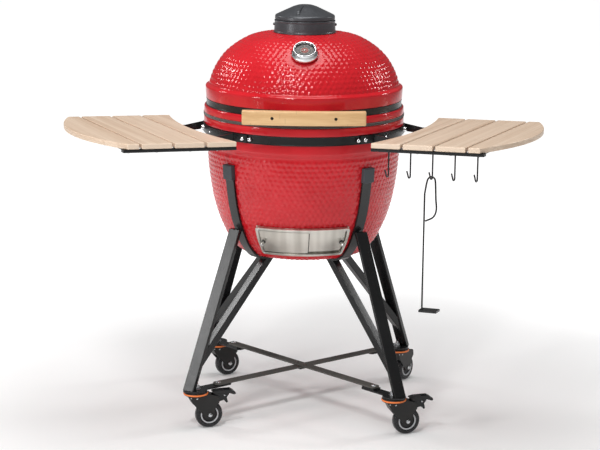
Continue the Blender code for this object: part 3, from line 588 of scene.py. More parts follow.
class Piece:
    """Collects closed shapes into one mesh with one or more finishes.

    A turn goes into the mesh itself, so that the piece's box stays square to the object's.
    """

    def __init__(self, name, matrix=AXIS, turn=None):
        self.name, self.matrix, self.turn = name, matrix, turn
        self.points, self.faces, self.looks, self.finishes = [], [], [], []

    def add(self, finish, *shapes):
        if finish not in self.finishes:
            self.finishes.append(finish)
        for shape in shapes:
            if isinstance(shape, list):
                self.add(finish, *shape)
                continue
            start = len(self.points)
            self.points += shape[0]
            self.faces += [tuple(start + v for v in face) for face in shape[1]]
            self.looks += [self.finishes.index(finish)] * len(shape[1])
        return self

    def done(self, body, *nodes, slot, sharp=38, cut=(), flat=True):
        """Makes the object; edges over sharp degrees stay crisp, and flat keeps rounded bars' sides flat."""
        mesh = bpy.data.meshes.new(self.name)
        mesh.from_pydata(self.points, [], self.faces)
        for finish in self.finishes:
            mesh.materials.append(finish)
        mesh.polygons.foreach_set("material_index", self.looks)
        if self.turn:
            mesh.transform(self.turn)
        mesh.update()
        thing = bpy.data.objects.new(self.name, mesh)
        scene.collection.objects.link(thing)
        if cut:
            carve(thing, cut)
        thing.data.shade_smooth()
        thing.data.set_sharp_from_angle(angle=radians(sharp))
        if flat:
            thing.modifiers.new("flat faces", "WEIGHTED_NORMAL").keep_sharp = True
        thing.matrix_world = self.matrix
        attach(thing, body)
        if nodes:
            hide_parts(*nodes)
        return thing


def carve(thing, shapes):
    """Cuts closed shapes out of a new piece, in its own coordinates."""
    for points, faces in shapes:
        mesh = bpy.data.meshes.new("cutter")
        mesh.from_pydata(points, [], faces)
        tool = bpy.data.objects.new("cutter", mesh)
        scene.collection.objects.link(tool)
        step = thing.modifiers.new("cut", "BOOLEAN")
        step.operation, step.object, step.solver, step.use_self = "DIFFERENCE", tool, "EXACT", True
        bpy.context.view_layer.update()
        result = bpy.data.meshes.new_from_object(thing.evaluated_get(bpy.context.evaluated_depsgraph_get()))
        thing.modifiers.clear()
        thing.data = result
        bpy.data.objects.remove(tool)


# ---- the glazed ceramic ----

def pimpled(profile, first, last, seed, clear=None):
    """Turns a closed outline into a skin, with rows of glazed pimples from row first to row last."""
    line = np.array(profile)
    ahead, behind = np.roll(line, -1, 0), np.roll(line, 1, 0)
    along = ahead - behind
    along /= np.linalg.norm(along, axis=1)[:, None]
    out = np.stack([along[:, 1], -along[:, 0]], 1)
    if out[(first + last) // 2, 0] < 0:
        out = -out
    run = np.concatenate([[0], np.cumsum(np.linalg.norm(np.diff(line, axis=0), axis=1))])
    step = 2 * pi / SKIN_SEGMENTS
    relief = np.zeros((len(line), SKIN_SEGMENTS))
    dice = random.Random(seed)
    start, end = run[first] + PIMPLE_ROW * 0.45, run[last] - PIMPLE_ROW * 0.45
    rows = round((end - start) / PIMPLE_ROW)
    for k in range(rows + 1):
        level = start + (end - start) * k / rows
        radius = float(np.interp(level, run, line[:, 0]))
        count = max(6, round(2 * pi * radius / PIMPLE_PITCH))
        for m in range(count):
            turn = (m + 0.5 * (k % 2) + dice.uniform(-0.11, 0.11)) / count * 2 * pi
            spot = level + dice.uniform(-0.0014, 0.0014)
            size = PIMPLE_SIZE * dice.uniform(0.92, 1.06)
            height = PIMPLE_HEIGHT * dice.uniform(0.85, 1.12)
            i0, i1 = np.searchsorted(run, (spot - size, spot + size))
            reach = ceil(size / radius / step)
            columns = np.arange(round(turn / step) - reach, round(turn / step) + reach + 1)
            away = ((run[i0:i1] - spot)[:, None] / size) ** 2
            away = away + ((columns * step - turn)[None, :] * radius / size) ** 2
            bump = height * np.clip(1 - away, 0, 1) ** 1.6
            patch = np.ix_(np.arange(i0, i1), columns % SKIN_SEGMENTS)
            relief[patch] = np.maximum(relief[patch], bump)
    turns = np.arange(SKIN_SEGMENTS) * step
    across, ahead = np.sin(turns), -np.cos(turns)
    base = np.stack([line[:, :1] * across, line[:, :1] * ahead, np.repeat(line[:, 1:], SKIN_SEGMENTS, 1)], 2)
    if clear:
        spot, near, far = clear
        gap = np.linalg.norm(base - np.array(spot), axis=2)
        relief *= np.clip((gap - near) / (far - near), 0, 1)
    normal = np.stack([out[:, :1] * across, out[:, :1] * ahead, np.repeat(out[:, 1:], SKIN_SEGMENTS, 1)], 2)
    return base + normal * relief[:, :, None]


def skin_faces(rows, ring, hole=None):
    """The faces of a turned grid. hole is (columns, outer rows, inner rows) to leave out and to line."""
    n = SKIN_SEGMENTS
    left_out = set()
    if hole:
        columns, outer, inner = hole
        left_out = {(i, k % n) for a, b in (outer, inner) for i in range(a, b) for k in range(*columns)}
    faces = []
    for i in range(rows if ring else rows - 1):
        j = (i + 1) % rows
        for k in range(n):
            if (i, k) not in left_out:
                m = (k + 1) % n
                faces.append((i * n + k, i * n + m, j * n + m, j * n + k))
    return faces


def make_lid():
    inner = spline([(0.0600, 1.0270)] + LID_INSIDE, 0.011)
    rim = [(0.2470, 0.8360), (0.2728, 0.8360), (0.2718, LID_BAND[0]), (LID_SEAT_R, LID_BAND[0]),
           (LID_SEAT_R, LID_BAND[1]), (0.2670, LID_BAND[1]), (0.2690, 0.9080), (0.2600, 0.9112), (0.2568, 0.9140)]
    rim = fillet(rim, 0.0025, 5, False, {2: 0.0050, 3: 0.0008, 4: 0.0006, 5: 0.0025, 6: 0.0085, 7: 0.003})
    dome = spline([(0.2568, 0.9140)] + LID_OUTSIDE, SKIN_STEP)
    profile = inner[:-1] + rim[:-1] + dome
    first = len(inner) + len(rim) - 2
    last = first + max(i for i, (r, z) in enumerate(dome) if r > 0.0860)
    grid = pimpled(profile, first, last, 3, (GAUGE_SPOT, 0.040, 0.050))
    faces = skin_faces(len(profile), True)
    rough = len(inner) + 1
    bare = lambda face: face[0] // SKIN_SEGMENTS < rough or face[0] // SKIN_SEGMENTS == len(profile) - 1
    piece = Piece("lid_ceramic")
    shell(piece, grid, [f for f in faces if bare(f)], [f for f in faces if not bare(f)])
    piece.done("lid_assembly", "lid", slot="red_glaze", sharp=70, flat=False)


def shell(piece, grid, inside, skin):
    """Fills a piece with the ceramic's bare and glazed faces."""
    points, faces = outward(grid.reshape(-1, 3), inside + skin)
    piece.points = points
    piece.faces = faces
    piece.finishes = [RAW_CLAY, GLAZE]
    piece.looks = [0] * len(inside) + [1] * len(skin)


def make_bowl():
    inner = spline([(0.020, 0.4760), (0.080, 0.4760)] + BOWL_INSIDE, 0.009)
    rim = [(0.2470, 0.8280), (RIM_R, 0.8280), (RIM_R, BOWL_BAND[1]), (SEAT_R, BOWL_BAND[1]), (SEAT_R, BOWL_BAND[0]),
           (0.2684, BOWL_BAND[0]), (0.2684, 0.7570), (0.2650, 0.7510), (0.2618, 0.7465)]
    rim = fillet(rim, 0.003, 5, False, {3: 0.0006, 4: 0.0006, 5: 0.0020, 6: 0.0050, 7: 0.004})
    skin_line = spline([(0.2618, 0.7465)] + BOWL_OUTSIDE, SKIN_STEP * 1.04)
    bottom = [(r, 0.4520) for r in (0.140, 0.120, 0.090, 0.050, 0.020)]
    profile = inner[:-1] + rim[:-1] + skin_line + bottom
    first = len(inner) + len(rim) - 2 + 3
    last = first + len(skin_line) - 5
    grid = pimpled(profile, first, last, 8)
    n = len(profile)
    line = np.array(profile)
    outer = [i for i in range(first, first + len(skin_line)) if DRAFT_DOORWAY[0] < line[i, 1] < DRAFT_DOORWAY[1]]
    innards = [i for i in range(len(inner)) if DRAFT_DOORWAY[0] < line[i, 1] < DRAFT_DOORWAY[1]]
    half = round(DOORWAY_HALF / (2 * pi / SKIN_SEGMENTS))
    outer, innards = (outer[0], outer[-1]), (innards[0], innards[-1])
    faces = skin_faces(n, False, ((-half, half), outer, innards))
    rough = len(inner) + 1
    inside = [f for f in faces if f[0] // SKIN_SEGMENTS < rough]
    skin = [f for f in faces if f[0] // SKIN_SEGMENTS >= rough]
    spot = lambda row, column: row * SKIN_SEGMENTS + column % SKIN_SEGMENTS
    for k in range(-half, half):
        inside.append((spot(outer[0], k), spot(outer[0], k + 1), spot(innards[1], k + 1), spot(innards[1], k)))
        inside.append((spot(outer[1], k + 1), spot(outer[1], k), spot(innards[0], k), spot(innards[0], k + 1)))
    for k, flip in ((-half, 1), (half, -1)):
        wall = [spot(i, k) for i in range(outer[0], outer[1] + 1)]
        wall += [spot(i, k) for i in range(innards[0], innards[1] + 1)]
        inside.append(tuple(wall[::flip]))
    inside += [tuple(spot(0, k) for k in range(SKIN_SEGMENTS)), tuple(spot(n - 1, -k) for k in range(SKIN_SEGMENTS))]
    piece = Piece("bowl_ceramic")
    shell(piece, grid, inside, skin)
    bowl = piece.done("base", "bowl", slot="red_glaze", sharp=70, flat=False)
    even_out(bowl)


def even_out(thing):
    """Turns every face of a closed piece outwards."""
    shape = bmesh.new()
    shape.from_mesh(thing.data)
    bmesh.ops.recalc_face_normals(shape, faces=shape.faces)
    shape.to_mesh(thing.data)
    shape.free()


def make_bands():
    for name, node, (low, high), seat, body in (("bowl_hoop", "bowl_band", BOWL_BAND, SEAT_R, "base"),
                                                ("lid_hoop", "lid_band", LID_BAND, LID_SEAT_R, "lid_assembly")):
        low, high, foot, flat, lip = low + 0.0004, high - 0.0004, seat + 0.0004, seat + 0.0032, seat + 0.0044
        outline = [(foot, low), (lip, low), (lip, low + 0.0017), (flat, low + 0.0024), (flat, high - 0.0024),
                   (lip, high - 0.0017), (lip, high), (foot, high)]
        hoop = turned(fillet(outline, 0.0004, 2), 160, True)
        Piece(name).add(POWDER, hoop).done(body, node, slot="black_steel")
    for name, node, low, body in (("bowl_felt", "bowl_gasket", 0.8283, "base"),
                                  ("lid_felt", "lid_gasket", 0.8323, "lid_assembly")):
        outline = [(0.2500, low), (0.2738, low), (0.2738, low + 0.0034), (0.2500, low + 0.0034)]
        Piece(name).add(FELT, turned(fillet(outline, 0.0012, 3), 160, True)).done(body, node, slot="gasket_felt")


# ---- lid hardware ----

def make_gauge():
    axis = Vector((0, -cos(GAUGE_LEAN), sin(GAUGE_LEAN)))
    place = AXIS @ facing(GAUGE_SPOT + axis * 0.0030, axis)
    case = [(0, -0.001), (0.0352, -0.001), (0.0368, 0.0012), (0.0366, 0.0050), (0.0345, 0.0100), (0.0318, 0.0150),
            (0.0310, 0.0172), (0.0298, 0.0190), (0.0278, 0.0190), (0.0262, 0.0172), (0.0256, 0.0140),
            (0.0254, 0.0122), (0, 0.0122)]
    stem = [(0, -0.0600), (0.0030, -0.0590), (0.0045, -0.0570), (0.0045, 0.0), (0, 0.0)]
    piece = Piece("gauge_case", place)
    piece.add(CHROME, turned(fillet(case, 0.0010, 3, False), 72))
    piece.add(STEEL, turned(stem, 20))
    piece.add(DIAL, turned([(0, 0.0120), (0.0250, 0.0120), (0.0250, 0.0128), (0, 0.0128)], 48))
    piece.add(DIAL_RED, turned([(0, 0.0126), (0.0098, 0.0126), (0.0096, 0.0132), (0, 0.0132)], 32))
    for k in range(-10, 11):
        big = k % 5 == 0
        turn = Matrix.Rotation(radians(k * 13.5), 4, "Z")
        low = (-0.0008 if big else -0.0004, 0.0150 if big else 0.0172, 0.0126)
        piece.add(DIAL_INK, box(low, (-low[0], 0.0208, 0.0131), turn, 0))
    ring = [(0.0108, 0.0126), (0.0118, 0.0126), (0.0118, 0.0131), (0.0108, 0.0131)]
    piece.add(DIAL_INK, turned(ring, 40, True))
    needle = prism([(-0.0013, -0.004), (0.0013, -0.004), (0.0004, 0.0185), (-0.0004, 0.0185)], 0.0138, 0.0144,
                   Matrix.Rotation(radians(118), 4, "Z"), 0)
    piece.add(DIAL_INK, needle)
    piece.add(STEEL, turned([(0, 0.0130), (0.0026, 0.0130), (0.0026, 0.0148), (0.0018, 0.0154), (0, 0.0155)], 20))
    piece.done("lid_assembly", "thermometer", slot="thermometer_chrome")


def make_top_vent():
    base = [(0.0580, 1.0507), (0.0842, 1.0507), (0.0840, 1.0540), (0.0832, 1.0560), (0.0818, 1.0800), (0.0826, 1.0815),
            (0.0824, 1.0846), (0.0760, 1.0850), (0.0740, 1.0580), (0.0580, 1.0560)]
    piece = Piece("vent_collar")
    piece.add(CASTING, turned(fillet(base, 0.0009, 3), 112, True))
    for side in (-1, 1):
        place = facing((side * 0.0795, 0, 1.0720), (side, 0, 0))
        piece.add(CASTING, placed(turned(fillet([(0, 0), (0.0036, 0), (0.0036, 0.0052), (0.0024, 0.0068),
                                                 (0, 0.0068)], 0.0006, 2, False), 20), place))
    piece.done("lid_assembly", "vent_base", slot="vent_casting")
    cap = [(0, 1.1190), (0.0300, 1.1145), (0.0690, 1.0945), (0.0735, 1.0870), (0.0735, 1.0857), (0.0795, 1.0857),
           (0.0795, 1.0870), (0.0813, 1.0880), (0.0810, 1.0960), (0.0780, 1.0988), (0.0330, 1.1200), (0.0180, 1.1248),
           (0, 1.1255)]
    piece = Piece("vent_lid")
    piece.add(CASTING, turned(fillet(cap, 0.0025, 4, False, {4: 0.0005, 5: 0.0006, 6: 0.0004, 7: 0.0006,
                                                            8: 0.0018, 9: 0.0018}), 128))
    fin = [(0.0050, 1.1190), (0.0050, 1.1249), (0.0300, 1.1240), (0.0640, 1.1135), (0.0692, 1.1060), (0.0692, 1.0980)]
    turn = radians(-16)
    place = lambda r, z, c: (r * sin(turn) + c * cos(turn), -r * cos(turn) + c * sin(turn), z)
    piece.add(CASTING, prism(fillet(fin, 0.004, 4), -0.0030, 0.0030, place, 0.0012, 3))
    piece.done("vent_cap", "vent_cover", slot="vent_casting")


def carried(name, node, finish, width):
    """A CAD node's own shape with its edges rounded and its finish on."""
    shape = bmesh.new()
    shape.from_mesh(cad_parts[node].data)
    bmesh.ops.remove_doubles(shape, verts=shape.verts, dist=1e-6)
    bmesh.ops.dissolve_limit(shape, angle_limit=radians(1), verts=shape.verts, edges=shape.edges)
    shape.normal_update()
    edges = [e for e in shape.edges if len(e.link_faces) == 2 and e.calc_face_angle(0) > radians(30)]
    bmesh.ops.bevel(shape, geom=edges, offset=width, segments=2, profile=0.5, affect="EDGES", clamp_overlap=True)
    bmesh.ops.translate(shape, verts=shape.verts, vec=(0, -AXIS_Y, 0))
    shape.verts.index_update()
    piece = Piece(name)
    piece.add(finish, ([tuple(v.co) for v in shape.verts], [tuple(v.index for v in f.verts) for f in shape.faces]))
    shape.free()
    return piece


def make_hinge():
    for node, body, reach, face, z in (("hinge_lower", "base", 0.012, 0.2766, 0.7935),
                                       ("hinge_upper", "lid_assembly", 0.034, 0.2714, 0.8650)):
        piece = carried(node + "_plate", node, POWDER, 0.0008)
        for x in (-reach, reach):
            piece.add(ZINC, dome_bolt((x, face, z), (0, 1, 0), 0.0050, 0.0035))
        piece.done(body, node, slot="black_steel")
    pin = [(0, -0.0390), (0.0034, -0.0390), (0.0040, -0.0384), (0.0040, 0.0384), (0.0034, 0.0390), (0, 0.0390)]
    place = facing((0, HINGE_Y, SPLIT_Z), (1, 0, 0))
    Piece("hinge_rod").add(STEEL, placed(turned(pin, 24), place)).done("base", "hinge_pin", slot="stainless_steel")


def make_handle():
    low, high = HANDLE_Z
    front = [(x, -0.3270 + 0.013 * (x / HANDLE_HALF) ** 2) for x in even(-HANDLE_HALF, HANDLE_HALF, 28)]
    back = [(x, y + 0.0220) for x, y in reversed(front)]
    middle = (low + high) / 2
    piece = Piece("grip_bar", AXIS @ Matrix.Translation((0, 0, middle)))
    piece.add(GRIP_BAMBOO, prism(front + back, low - middle, high - middle, bevel=0.0030, steps=3))
    face = -0.3270 + 0.013 * (HANDLE_ARM_X / HANDLE_HALF) ** 2
    holes = [placed(turned([(0, 0), (0.0042, 0), (0.0042, 0.0040), (0.0052, 0.0080), (0, 0.0080)], 28),
                    facing((side * HANDLE_ARM_X, face + 0.0050, 0), (0, -1, 0))) for side in (-1, 1)]
    piece.done("lid_assembly", "handle_grip", slot="handle_bamboo", cut=holes)
    screws = Piece("lid_screws")
    for side in (-1, 1):
        x = side * HANDLE_ARM_X
        spot = (x, face + 0.0052, middle)
        socket = [(0, 0.0), (0.0041, 0.0), (0.0041, 0.0022), (0.0034, 0.0030), (0.0021, 0.0030), (0.0019, 0.0012),
                  (0, 0.0012)]
        screws.add(FORK, placed(turned(socket, 24), facing(spot, (0, -1, 0))))
        away = Vector((x, -0.2542, 0)).normalized()
        for reach in (-0.0085, 0.0085):
            across = Vector((-away.y, away.x, 0)) * reach
            spot = away * 0.2688 + across + Vector((0, 0, 0.8660))
            screws.add(ZINC, hex_nut(spot, away, 0.0045, 0.0055, 0.0015))
    screws.done("lid_assembly", slot="zinc_fasteners")
    for name, side in (("left", -1), ("right", 1)):
        lean = atan2(0.258, HANDLE_ARM_X)
        root = Vector((side * HANDLE_ARM_X, -0.2542))
        along = Vector((side * sin(lean), cos(lean)))
        out = Vector((side * cos(lean), -sin(lean)))
        foot = [tuple(root + along * a + out * b) for a, b in ((-0.014, -0.0008), (0.014, -0.0008),
                                                               (0.014, 0.0022), (-0.014, 0.0022))]
        x = side * HANDLE_ARM_X
        piece = Piece(f"grip_arm_{name}")
        piece.add(POWDER, prism(foot, 0.8562, 0.8728),
                  box((x - 0.0015, -0.2980, 0.8570), (x + 0.0015, -0.2550, 0.8720)),
                  box((x - 0.0120, -0.2996, 0.8560), (x + 0.0120, -0.2970, 0.8730)))
        piece.done("lid_assembly", f"handle_bracket_{name}", slot="black_steel")


# ---- inside ----

def make_inside():
    cup = [(0.030, 0.4763), (0.1340, 0.4763), (0.1600, 0.4960), (0.1830, 0.5350), (0.2090, 0.6000), (0.2160, 0.6600),
           (0.1980, 0.6600), (0.1920, 0.6050), (0.1680, 0.5450), (0.1450, 0.5060), (0.0900, 0.4950), (0.030, 0.4950)]
    mouth = box((-0.070, -0.250, 0.4980), (0.070, -0.100, 0.5300), None, 0.0)
    cup = Piece("clay_fire_box").add(FIRE_CLAY, turned(fillet(cup, 0.004, 3), 96, True))
    cup.done("base", "fire_box", slot="fire_clay", cut=[mouth])
    hoop = [(0.1990, 0.6603), (0.2160, 0.6603), (0.2240, 0.7000), (0.2330, 0.7900), (0.2180, 0.7900), (0.2080, 0.7000)]
    ring = Piece("clay_fire_ring").add(FIRE_CLAY, turned(fillet(hoop, 0.003, 3), 96, True))
    ring.done("base", "fire_ring", slot="fire_clay")
    plate = fillet([(0, 0.5480), (0.1620, 0.5480), (0.1650, 0.5500), (0.1650, 0.5560), (0, 0.5560)], 0.001, 2, False)
    slots = []
    for y in (-0.105, -0.075, -0.045, -0.015, 0.015, 0.045, 0.075, 0.105):
        half = (0.135 ** 2 - y * y) ** 0.5
        for a, b in ((-half, -0.006), (0.006, half)):
            slots.append(prism(fillet([(a, y - 0.004), (b, y - 0.004), (b, y + 0.004), (a, y + 0.004)], 0.0038, 3),
                               0.530, 0.580, None, 0))
    grate = Piece("iron_charcoal_grate").add(IRON, turned(plate, 72))
    grate.done("base", "charcoal_grate", slot="grate_iron", cut=[joined(slots)])
    rack = Piece("rod_cooking_grate")
    for i in range(-13, 14):
        x = i * 0.016
        reach = (0.2230 ** 2 - x * x) ** 0.5
        rack.add(STEEL, tube([(x, -reach, 0.7960), (x, 0, 0.7960), (x, reach, 0.7960)], 0.0020, 8))
    for y in (-0.120, 0, 0.120):
        reach = (0.2230 ** 2 - y * y) ** 0.5
        rack.add(STEEL, tube([(-reach, y, 0.7928), (0, y, 0.7928), (reach, y, 0.7928)], 0.0017, 8))
    rim = [(0.2235 + 0.0033 * cos(t), 0.7947 + 0.0040 * sin(t)) for t in even(0, 2 * pi * 11 / 12, 11)]
    rack.add(STEEL, turned(rim, 96, True))
    rack.done("cooking_grate_lift", "cooking_grate", slot="stainless_steel")


# ---- draft vent ----

DRAFT_CURVE = np.array(spline(DRAFT_SKIN, 0.0005))


def draft_spot(turn, up, out):
    """A point at an angle round the bowl, up the vent's slope from 0 to 1, and out from the bowl."""
    along = up * (len(DRAFT_CURVE) - 1)
    r = float(np.interp(along, range(len(DRAFT_CURVE)), DRAFT_CURVE[:, 0])) + out * cos(DRAFT_SLOPE)
    z = float(np.interp(along, range(len(DRAFT_CURVE)), DRAFT_CURVE[:, 1])) - out * sin(DRAFT_SLOPE)
    return (r * sin(turn), -r * cos(turn), z)


def curved_plate(turns, ups, outs, across=48, upward=10):
    """A closed plate on the vent's curve between two angles, two heights and two depths."""
    points, faces = [], []
    for out in outs:
        for j in range(upward + 1):
            up = ups[0] + (ups[1] - ups[0]) * j / upward
            points += [draft_spot(turns[0] + (turns[1] - turns[0]) * i / across, up, out) for i in range(across + 1)]
    wide, layer = across + 1, (across + 1) * (upward + 1)
    for j in range(upward):
        for i in range(across):
            a = j * wide + i
            faces += [(a, a + 1, a + wide + 1, a + wide),
                      (a + layer, a + layer + wide, a + layer + wide + 1, a + layer + 1)]
    edge = [i for i in range(wide)] + [j * wide + across for j in range(1, upward + 1)]
    edge += [upward * wide + i for i in range(across - 1, -1, -1)] + [j * wide for j in range(upward - 1, 0, -1)]
    for a, b in zip(edge, edge[1:] + edge[:1]):
        faces.append((a, a + layer, b + layer, b))
    return outward(points, faces)


def make_draft():
    channel = Piece("draft_channel")
    flat = (0.0040, 0.0055)
    sides = radians(20.8)
    for turns, ups in (((-DRAFT_HALF, DRAFT_HALF), (0.0, 0.248)), ((-DRAFT_HALF, DRAFT_HALF), (0.80, 1.0)),
                       ((-DRAFT_HALF, -sides), (0.24, 0.81)), ((sides, DRAFT_HALF), (0.24, 0.81))):
        channel.add(BRUSHED, curved_plate(turns, ups, flat, 56, 6))
    radius, height = 0.217, 0.0902
    half = DRAFT_HALF * radius
    loop = fillet([(-half, 0), (half, 0), (half, height), (-half, height)], 0.0085, 8)
    dense = []
    for (a, b), (c, d) in zip(loop, loop[1:] + loop[:1]):
        steps = max(1, round(hypot(c - a, d - b) / 0.0045))
        dense += [(a + (c - a) * k / steps, b + (d - b) * k / steps) for k in range(steps)]
    lip = fillet([(0, 0.0040), (0, 0.0126), (0.0072, 0.0126), (0.0072, 0.0113), (0.0014, 0.0113), (0.0014, 0.0040)],
                 0.0006, 2)
    points, faces = [], []
    for i, here in enumerate(dense):
        before, after = Vector(dense[i - 1]), Vector(dense[(i + 1) % len(dense)])
        along = (after - before).normalized()
        inward = Vector((-along.y, along.x))
        for inset, out in lip:
            spot = Vector(here) + inward * inset
            points.append(draft_spot(spot.x / radius, spot.y / height, out))
    size = len(lip)
    for i in range(len(dense)):
        j = (i + 1) % len(dense)
        for k in range(size):
            n = (k + 1) % size
            faces.append((i * size + k, i * size + n, j * size + n, j * size + k))
    channel.add(BRUSHED, outward(points, faces))
    for turn, up in ((-29.4, 0.93), (29.4, 0.93), (-29.4, 0.07), (29.4, 0.07)):
        near, far = (Vector(draft_spot(radians(turn), up, out)) for out in (0.0126, 0.0200))
        channel.add(ZINC, dome_bolt(near, far - near, 0.0027, 0.0018))
    channel.done("base", "draft_frame", slot="stainless_steel")
    for side, inner, low, start, end, knob in (("left", 0.0092, 0.11, -30.2, 4.0, -27.5),
                                               ("right", 0.0072, 0.165, 1.0, 30.2, 27.5)):
        piece = Piece(f"draft_slide_{side}")
        piece.add(BRUSHED, curved_plate((radians(start), radians(end)), (low, 0.89), (inner, inner + 0.0008), 44, 12))
        if side == "left":
            # painted shade: this thin black strip along the left door's end stands in for the shadow in the gap at its
            # edge
            strip = (radians(end), radians(end + 0.55))
            piece.add(FORK, curved_plate(strip, (low, 0.86), (inner - 0.0006, inner + 0.0006), 2, 12))
        near, far = (Vector(draft_spot(radians(knob), 0.5, inner + reach)) for reach in (0.0006, 0.0176))
        profile = [(0, 0), (0.0030, 0), (0.0030, 0.0075), (0.0056, 0.0085), (0.0058, 0.0140), (0.0044, 0.0166),
                   (0, 0.0170)]
        shape = placed(turned(fillet(profile, 0.0008, 3, False), 28), facing(near, far - near))
        piece.add(STEEL, shape)
        washer = turned([(0, 0), (0.0056, 0), (0.0056, 0.0010), (0, 0.0010)], 24)
        piece.add(FORK, placed(washer, facing(near, far - near)))
        piece.done(f"draft_slider_{side}", f"draft_door_{side}", slot="stainless_steel")


# ---- stand ----

def radial(angle):
    """Places (outwards, up, across) on the upright plane at an angle from the front."""
    turn = radians(angle)
    return lambda r, z, c: (r * sin(turn) + c * cos(turn), -r * cos(turn) + c * sin(turn), z)


def flat(angle):
    """Places (outwards, across, up) at an angle from the front."""
    place = radial(angle)
    return lambda a, b, c: place(a, c, b)


def bar_outline(start, end, width):
    """The four corners of a flat bar between two points."""
    (r0, z0), (r1, z1) = start, end
    size = hypot(r1 - r0, z1 - z0)
    nr, nz = -(z1 - z0) / size * width / 2, (r1 - r0) / size * width / 2
    return [(r0 + nr, z0 + nz), (r1 + nr, z1 + nz), (r1 - nr, z1 - nz), (r0 - nr, z0 - nz)]


def stand_spot(angle, r, z):
    """The point at an angle from the front, out from the bowl's axis and up."""
    return Vector((r * sin(radians(angle)), -r * cos(radians(angle)), z))


def slanted(start, end, facing, end_cut=(0, 0, 1)):
    """Places (across, deep, 0 to 1 down) on a tube between two points, its broad side facing an angle."""
    along = (end - start).normalized()
    across = Vector((cos(radians(facing)), sin(radians(facing)), 0))
    across = (across - along * across.dot(along)).normalized()
    deep = along.cross(across)

    def place(a, b, part):
        side = start + across * a + deep * b
        ends = [(point - side).dot(Vector(cut)) / along.dot(Vector(cut))
                for point, cut in ((start, (0, 0, 1)), (end, end_cut))]
        return tuple(side + along * (ends[0] + (ends[1] - ends[0]) * part))
    return place, deep


def rectangle(wide, deep):
    return [(-wide / 2, -deep / 2), (wide / 2, -deep / 2), (wide / 2, deep / 2), (-wide / 2, deep / 2)]


def chamfered(start, end, half):
    """A bar's outline with its four corners cut off."""
    cut = half / 2
    return [(start + cut, -half), (end - cut, -half), (end, -half + cut), (end, half - cut),
            (end - cut, half), (start + cut, half), (start, half - cut), (start, -half + cut)]


def make_stand():
    under = spline([(0.2594, 0.7090), (0.2567, 0.6770)] + BOWL_OUTSIDE[2:] + [(0.1300, 0.4505)], 0.010)
    strap = offset(under, 0.0016) + list(reversed(offset(under, 0.0075)))
    turn = degrees(asin(TAB_HALF / PLATE_R))
    tab = chamfered(*TAB, TAB_HALF)
    foot = tab[:1] + arc((CASTER_REACH, 0), PLATE_R, 180 + turn, 360 - turn, 14) + tab[1:5]
    foot += arc((CASTER_REACH, 0), PLATE_R, turn, 180 - turn, 14) + tab[5:]
    pad = bar_outline((0.2648, 0.6755), (0.2672, 0.7152), 0.0136)
    for name, angle in STRAP_ANGLES.items():
        place = radial(angle)
        top, bottom = stand_spot(angle, *LEG_TOP), stand_spot(FOOT_ANGLES[name], *LEG_FOOT)
        leg, leg_side = slanted(top, bottom, LEG_FACINGS[name])
        head, end = stand_spot(angle, *STRUT_TOP), top.lerp(bottom, STRUT_FOOT)
        strut, _ = slanted(head, end, degrees(atan2(end.x - head.x, head.y - end.y)), leg_side)
        piece = Piece(f"stand_{name}")
        piece.add(POWDER, prism(strap, -0.0160, 0.0160, place, 0.0008),
                  prism(rectangle(*LEG_TUBE), 0, 1, leg, 0.0018, 3),
                  prism(rectangle(*STRUT_TUBE), 0, 1, strut, 0.0016, 3),
                  prism(foot, FOOT_Z, FOOT_Z + 0.0050, flat(FOOT_ANGLES[name]), 0.0008))
        foot_place = radial(FOOT_ANGLES[name])
        nut = foot_place(CASTER_REACH - 0.003, FOOT_Z + 0.0050, 0)
        lift = 0.0
        if name in ("front_right", "rear_left"):
            lift = 0.0046
            piece.add(POWDER, box((BAR_HALF - 0.0440, -0.0135, FOOT_Z + 0.0040), (BAR_HALF, 0.0135, FOOT_Z + 0.0096),
                                  flat(FOOT_ANGLES[name])))
        bolt = foot_place(BAR_HALF - 0.0130, FOOT_Z + 0.0094 + lift, 0)
        piece.add(ZINC, hex_nut(nut, (0, 0, 1), 0.0078, 0.0085, 0.0060))
        piece.add(ZINC, dome_bolt(bolt, (0, 0, 1), 0.0068, 0.0042))
        piece.done("base", f"leg_{name}", slot="black_steel")
        cap = Piece(f"stand_pad_{name}").add(RUBBER, prism(pad, -0.0180, 0.0180, place, 0.0024, 3))
        cap.done("base", f"leg_pad_{name}", slot="leg_rubber")
    for name, end, low in (("brace_bar_lower", "front_left", 0.0053), ("brace_bar_upper", "front_right", 0.0099)):
        place = flat(FOOT_ANGLES[end])
        piece = Piece(f"{name}_strip")
        low += FOOT_Z
        piece.add(BRACE, prism(chamfered(-BAR_HALF, BAR_HALF, TAB_HALF), low, low + 0.0042, place, 0.0009, 3))
        if name == "brace_bar_upper":
            for spot in (-0.017, 0.017):
                piece.add(BRACE, dome_bolt(place(spot, 0, low + 0.0042), (0, 0, 1), 0.0062, 0.0030))
        else:
            piece.add(POWDER, box((-0.0135, -0.0135, low - 0.0042), (0.0135, 0.0135, low + 0.0001), place))
        piece.done("base", name, slot="brace_steel")


def rounded_box(low, high, corner, place=None, bevel=0.0008):
    (x0, y0, z0), (x1, y1, z1) = low, high
    outline = fillet([(x0, y0), (x1, y0), (x1, y1), (x0, y1)], corner, 4)
    return prism(outline, z0, z1, place, bevel)


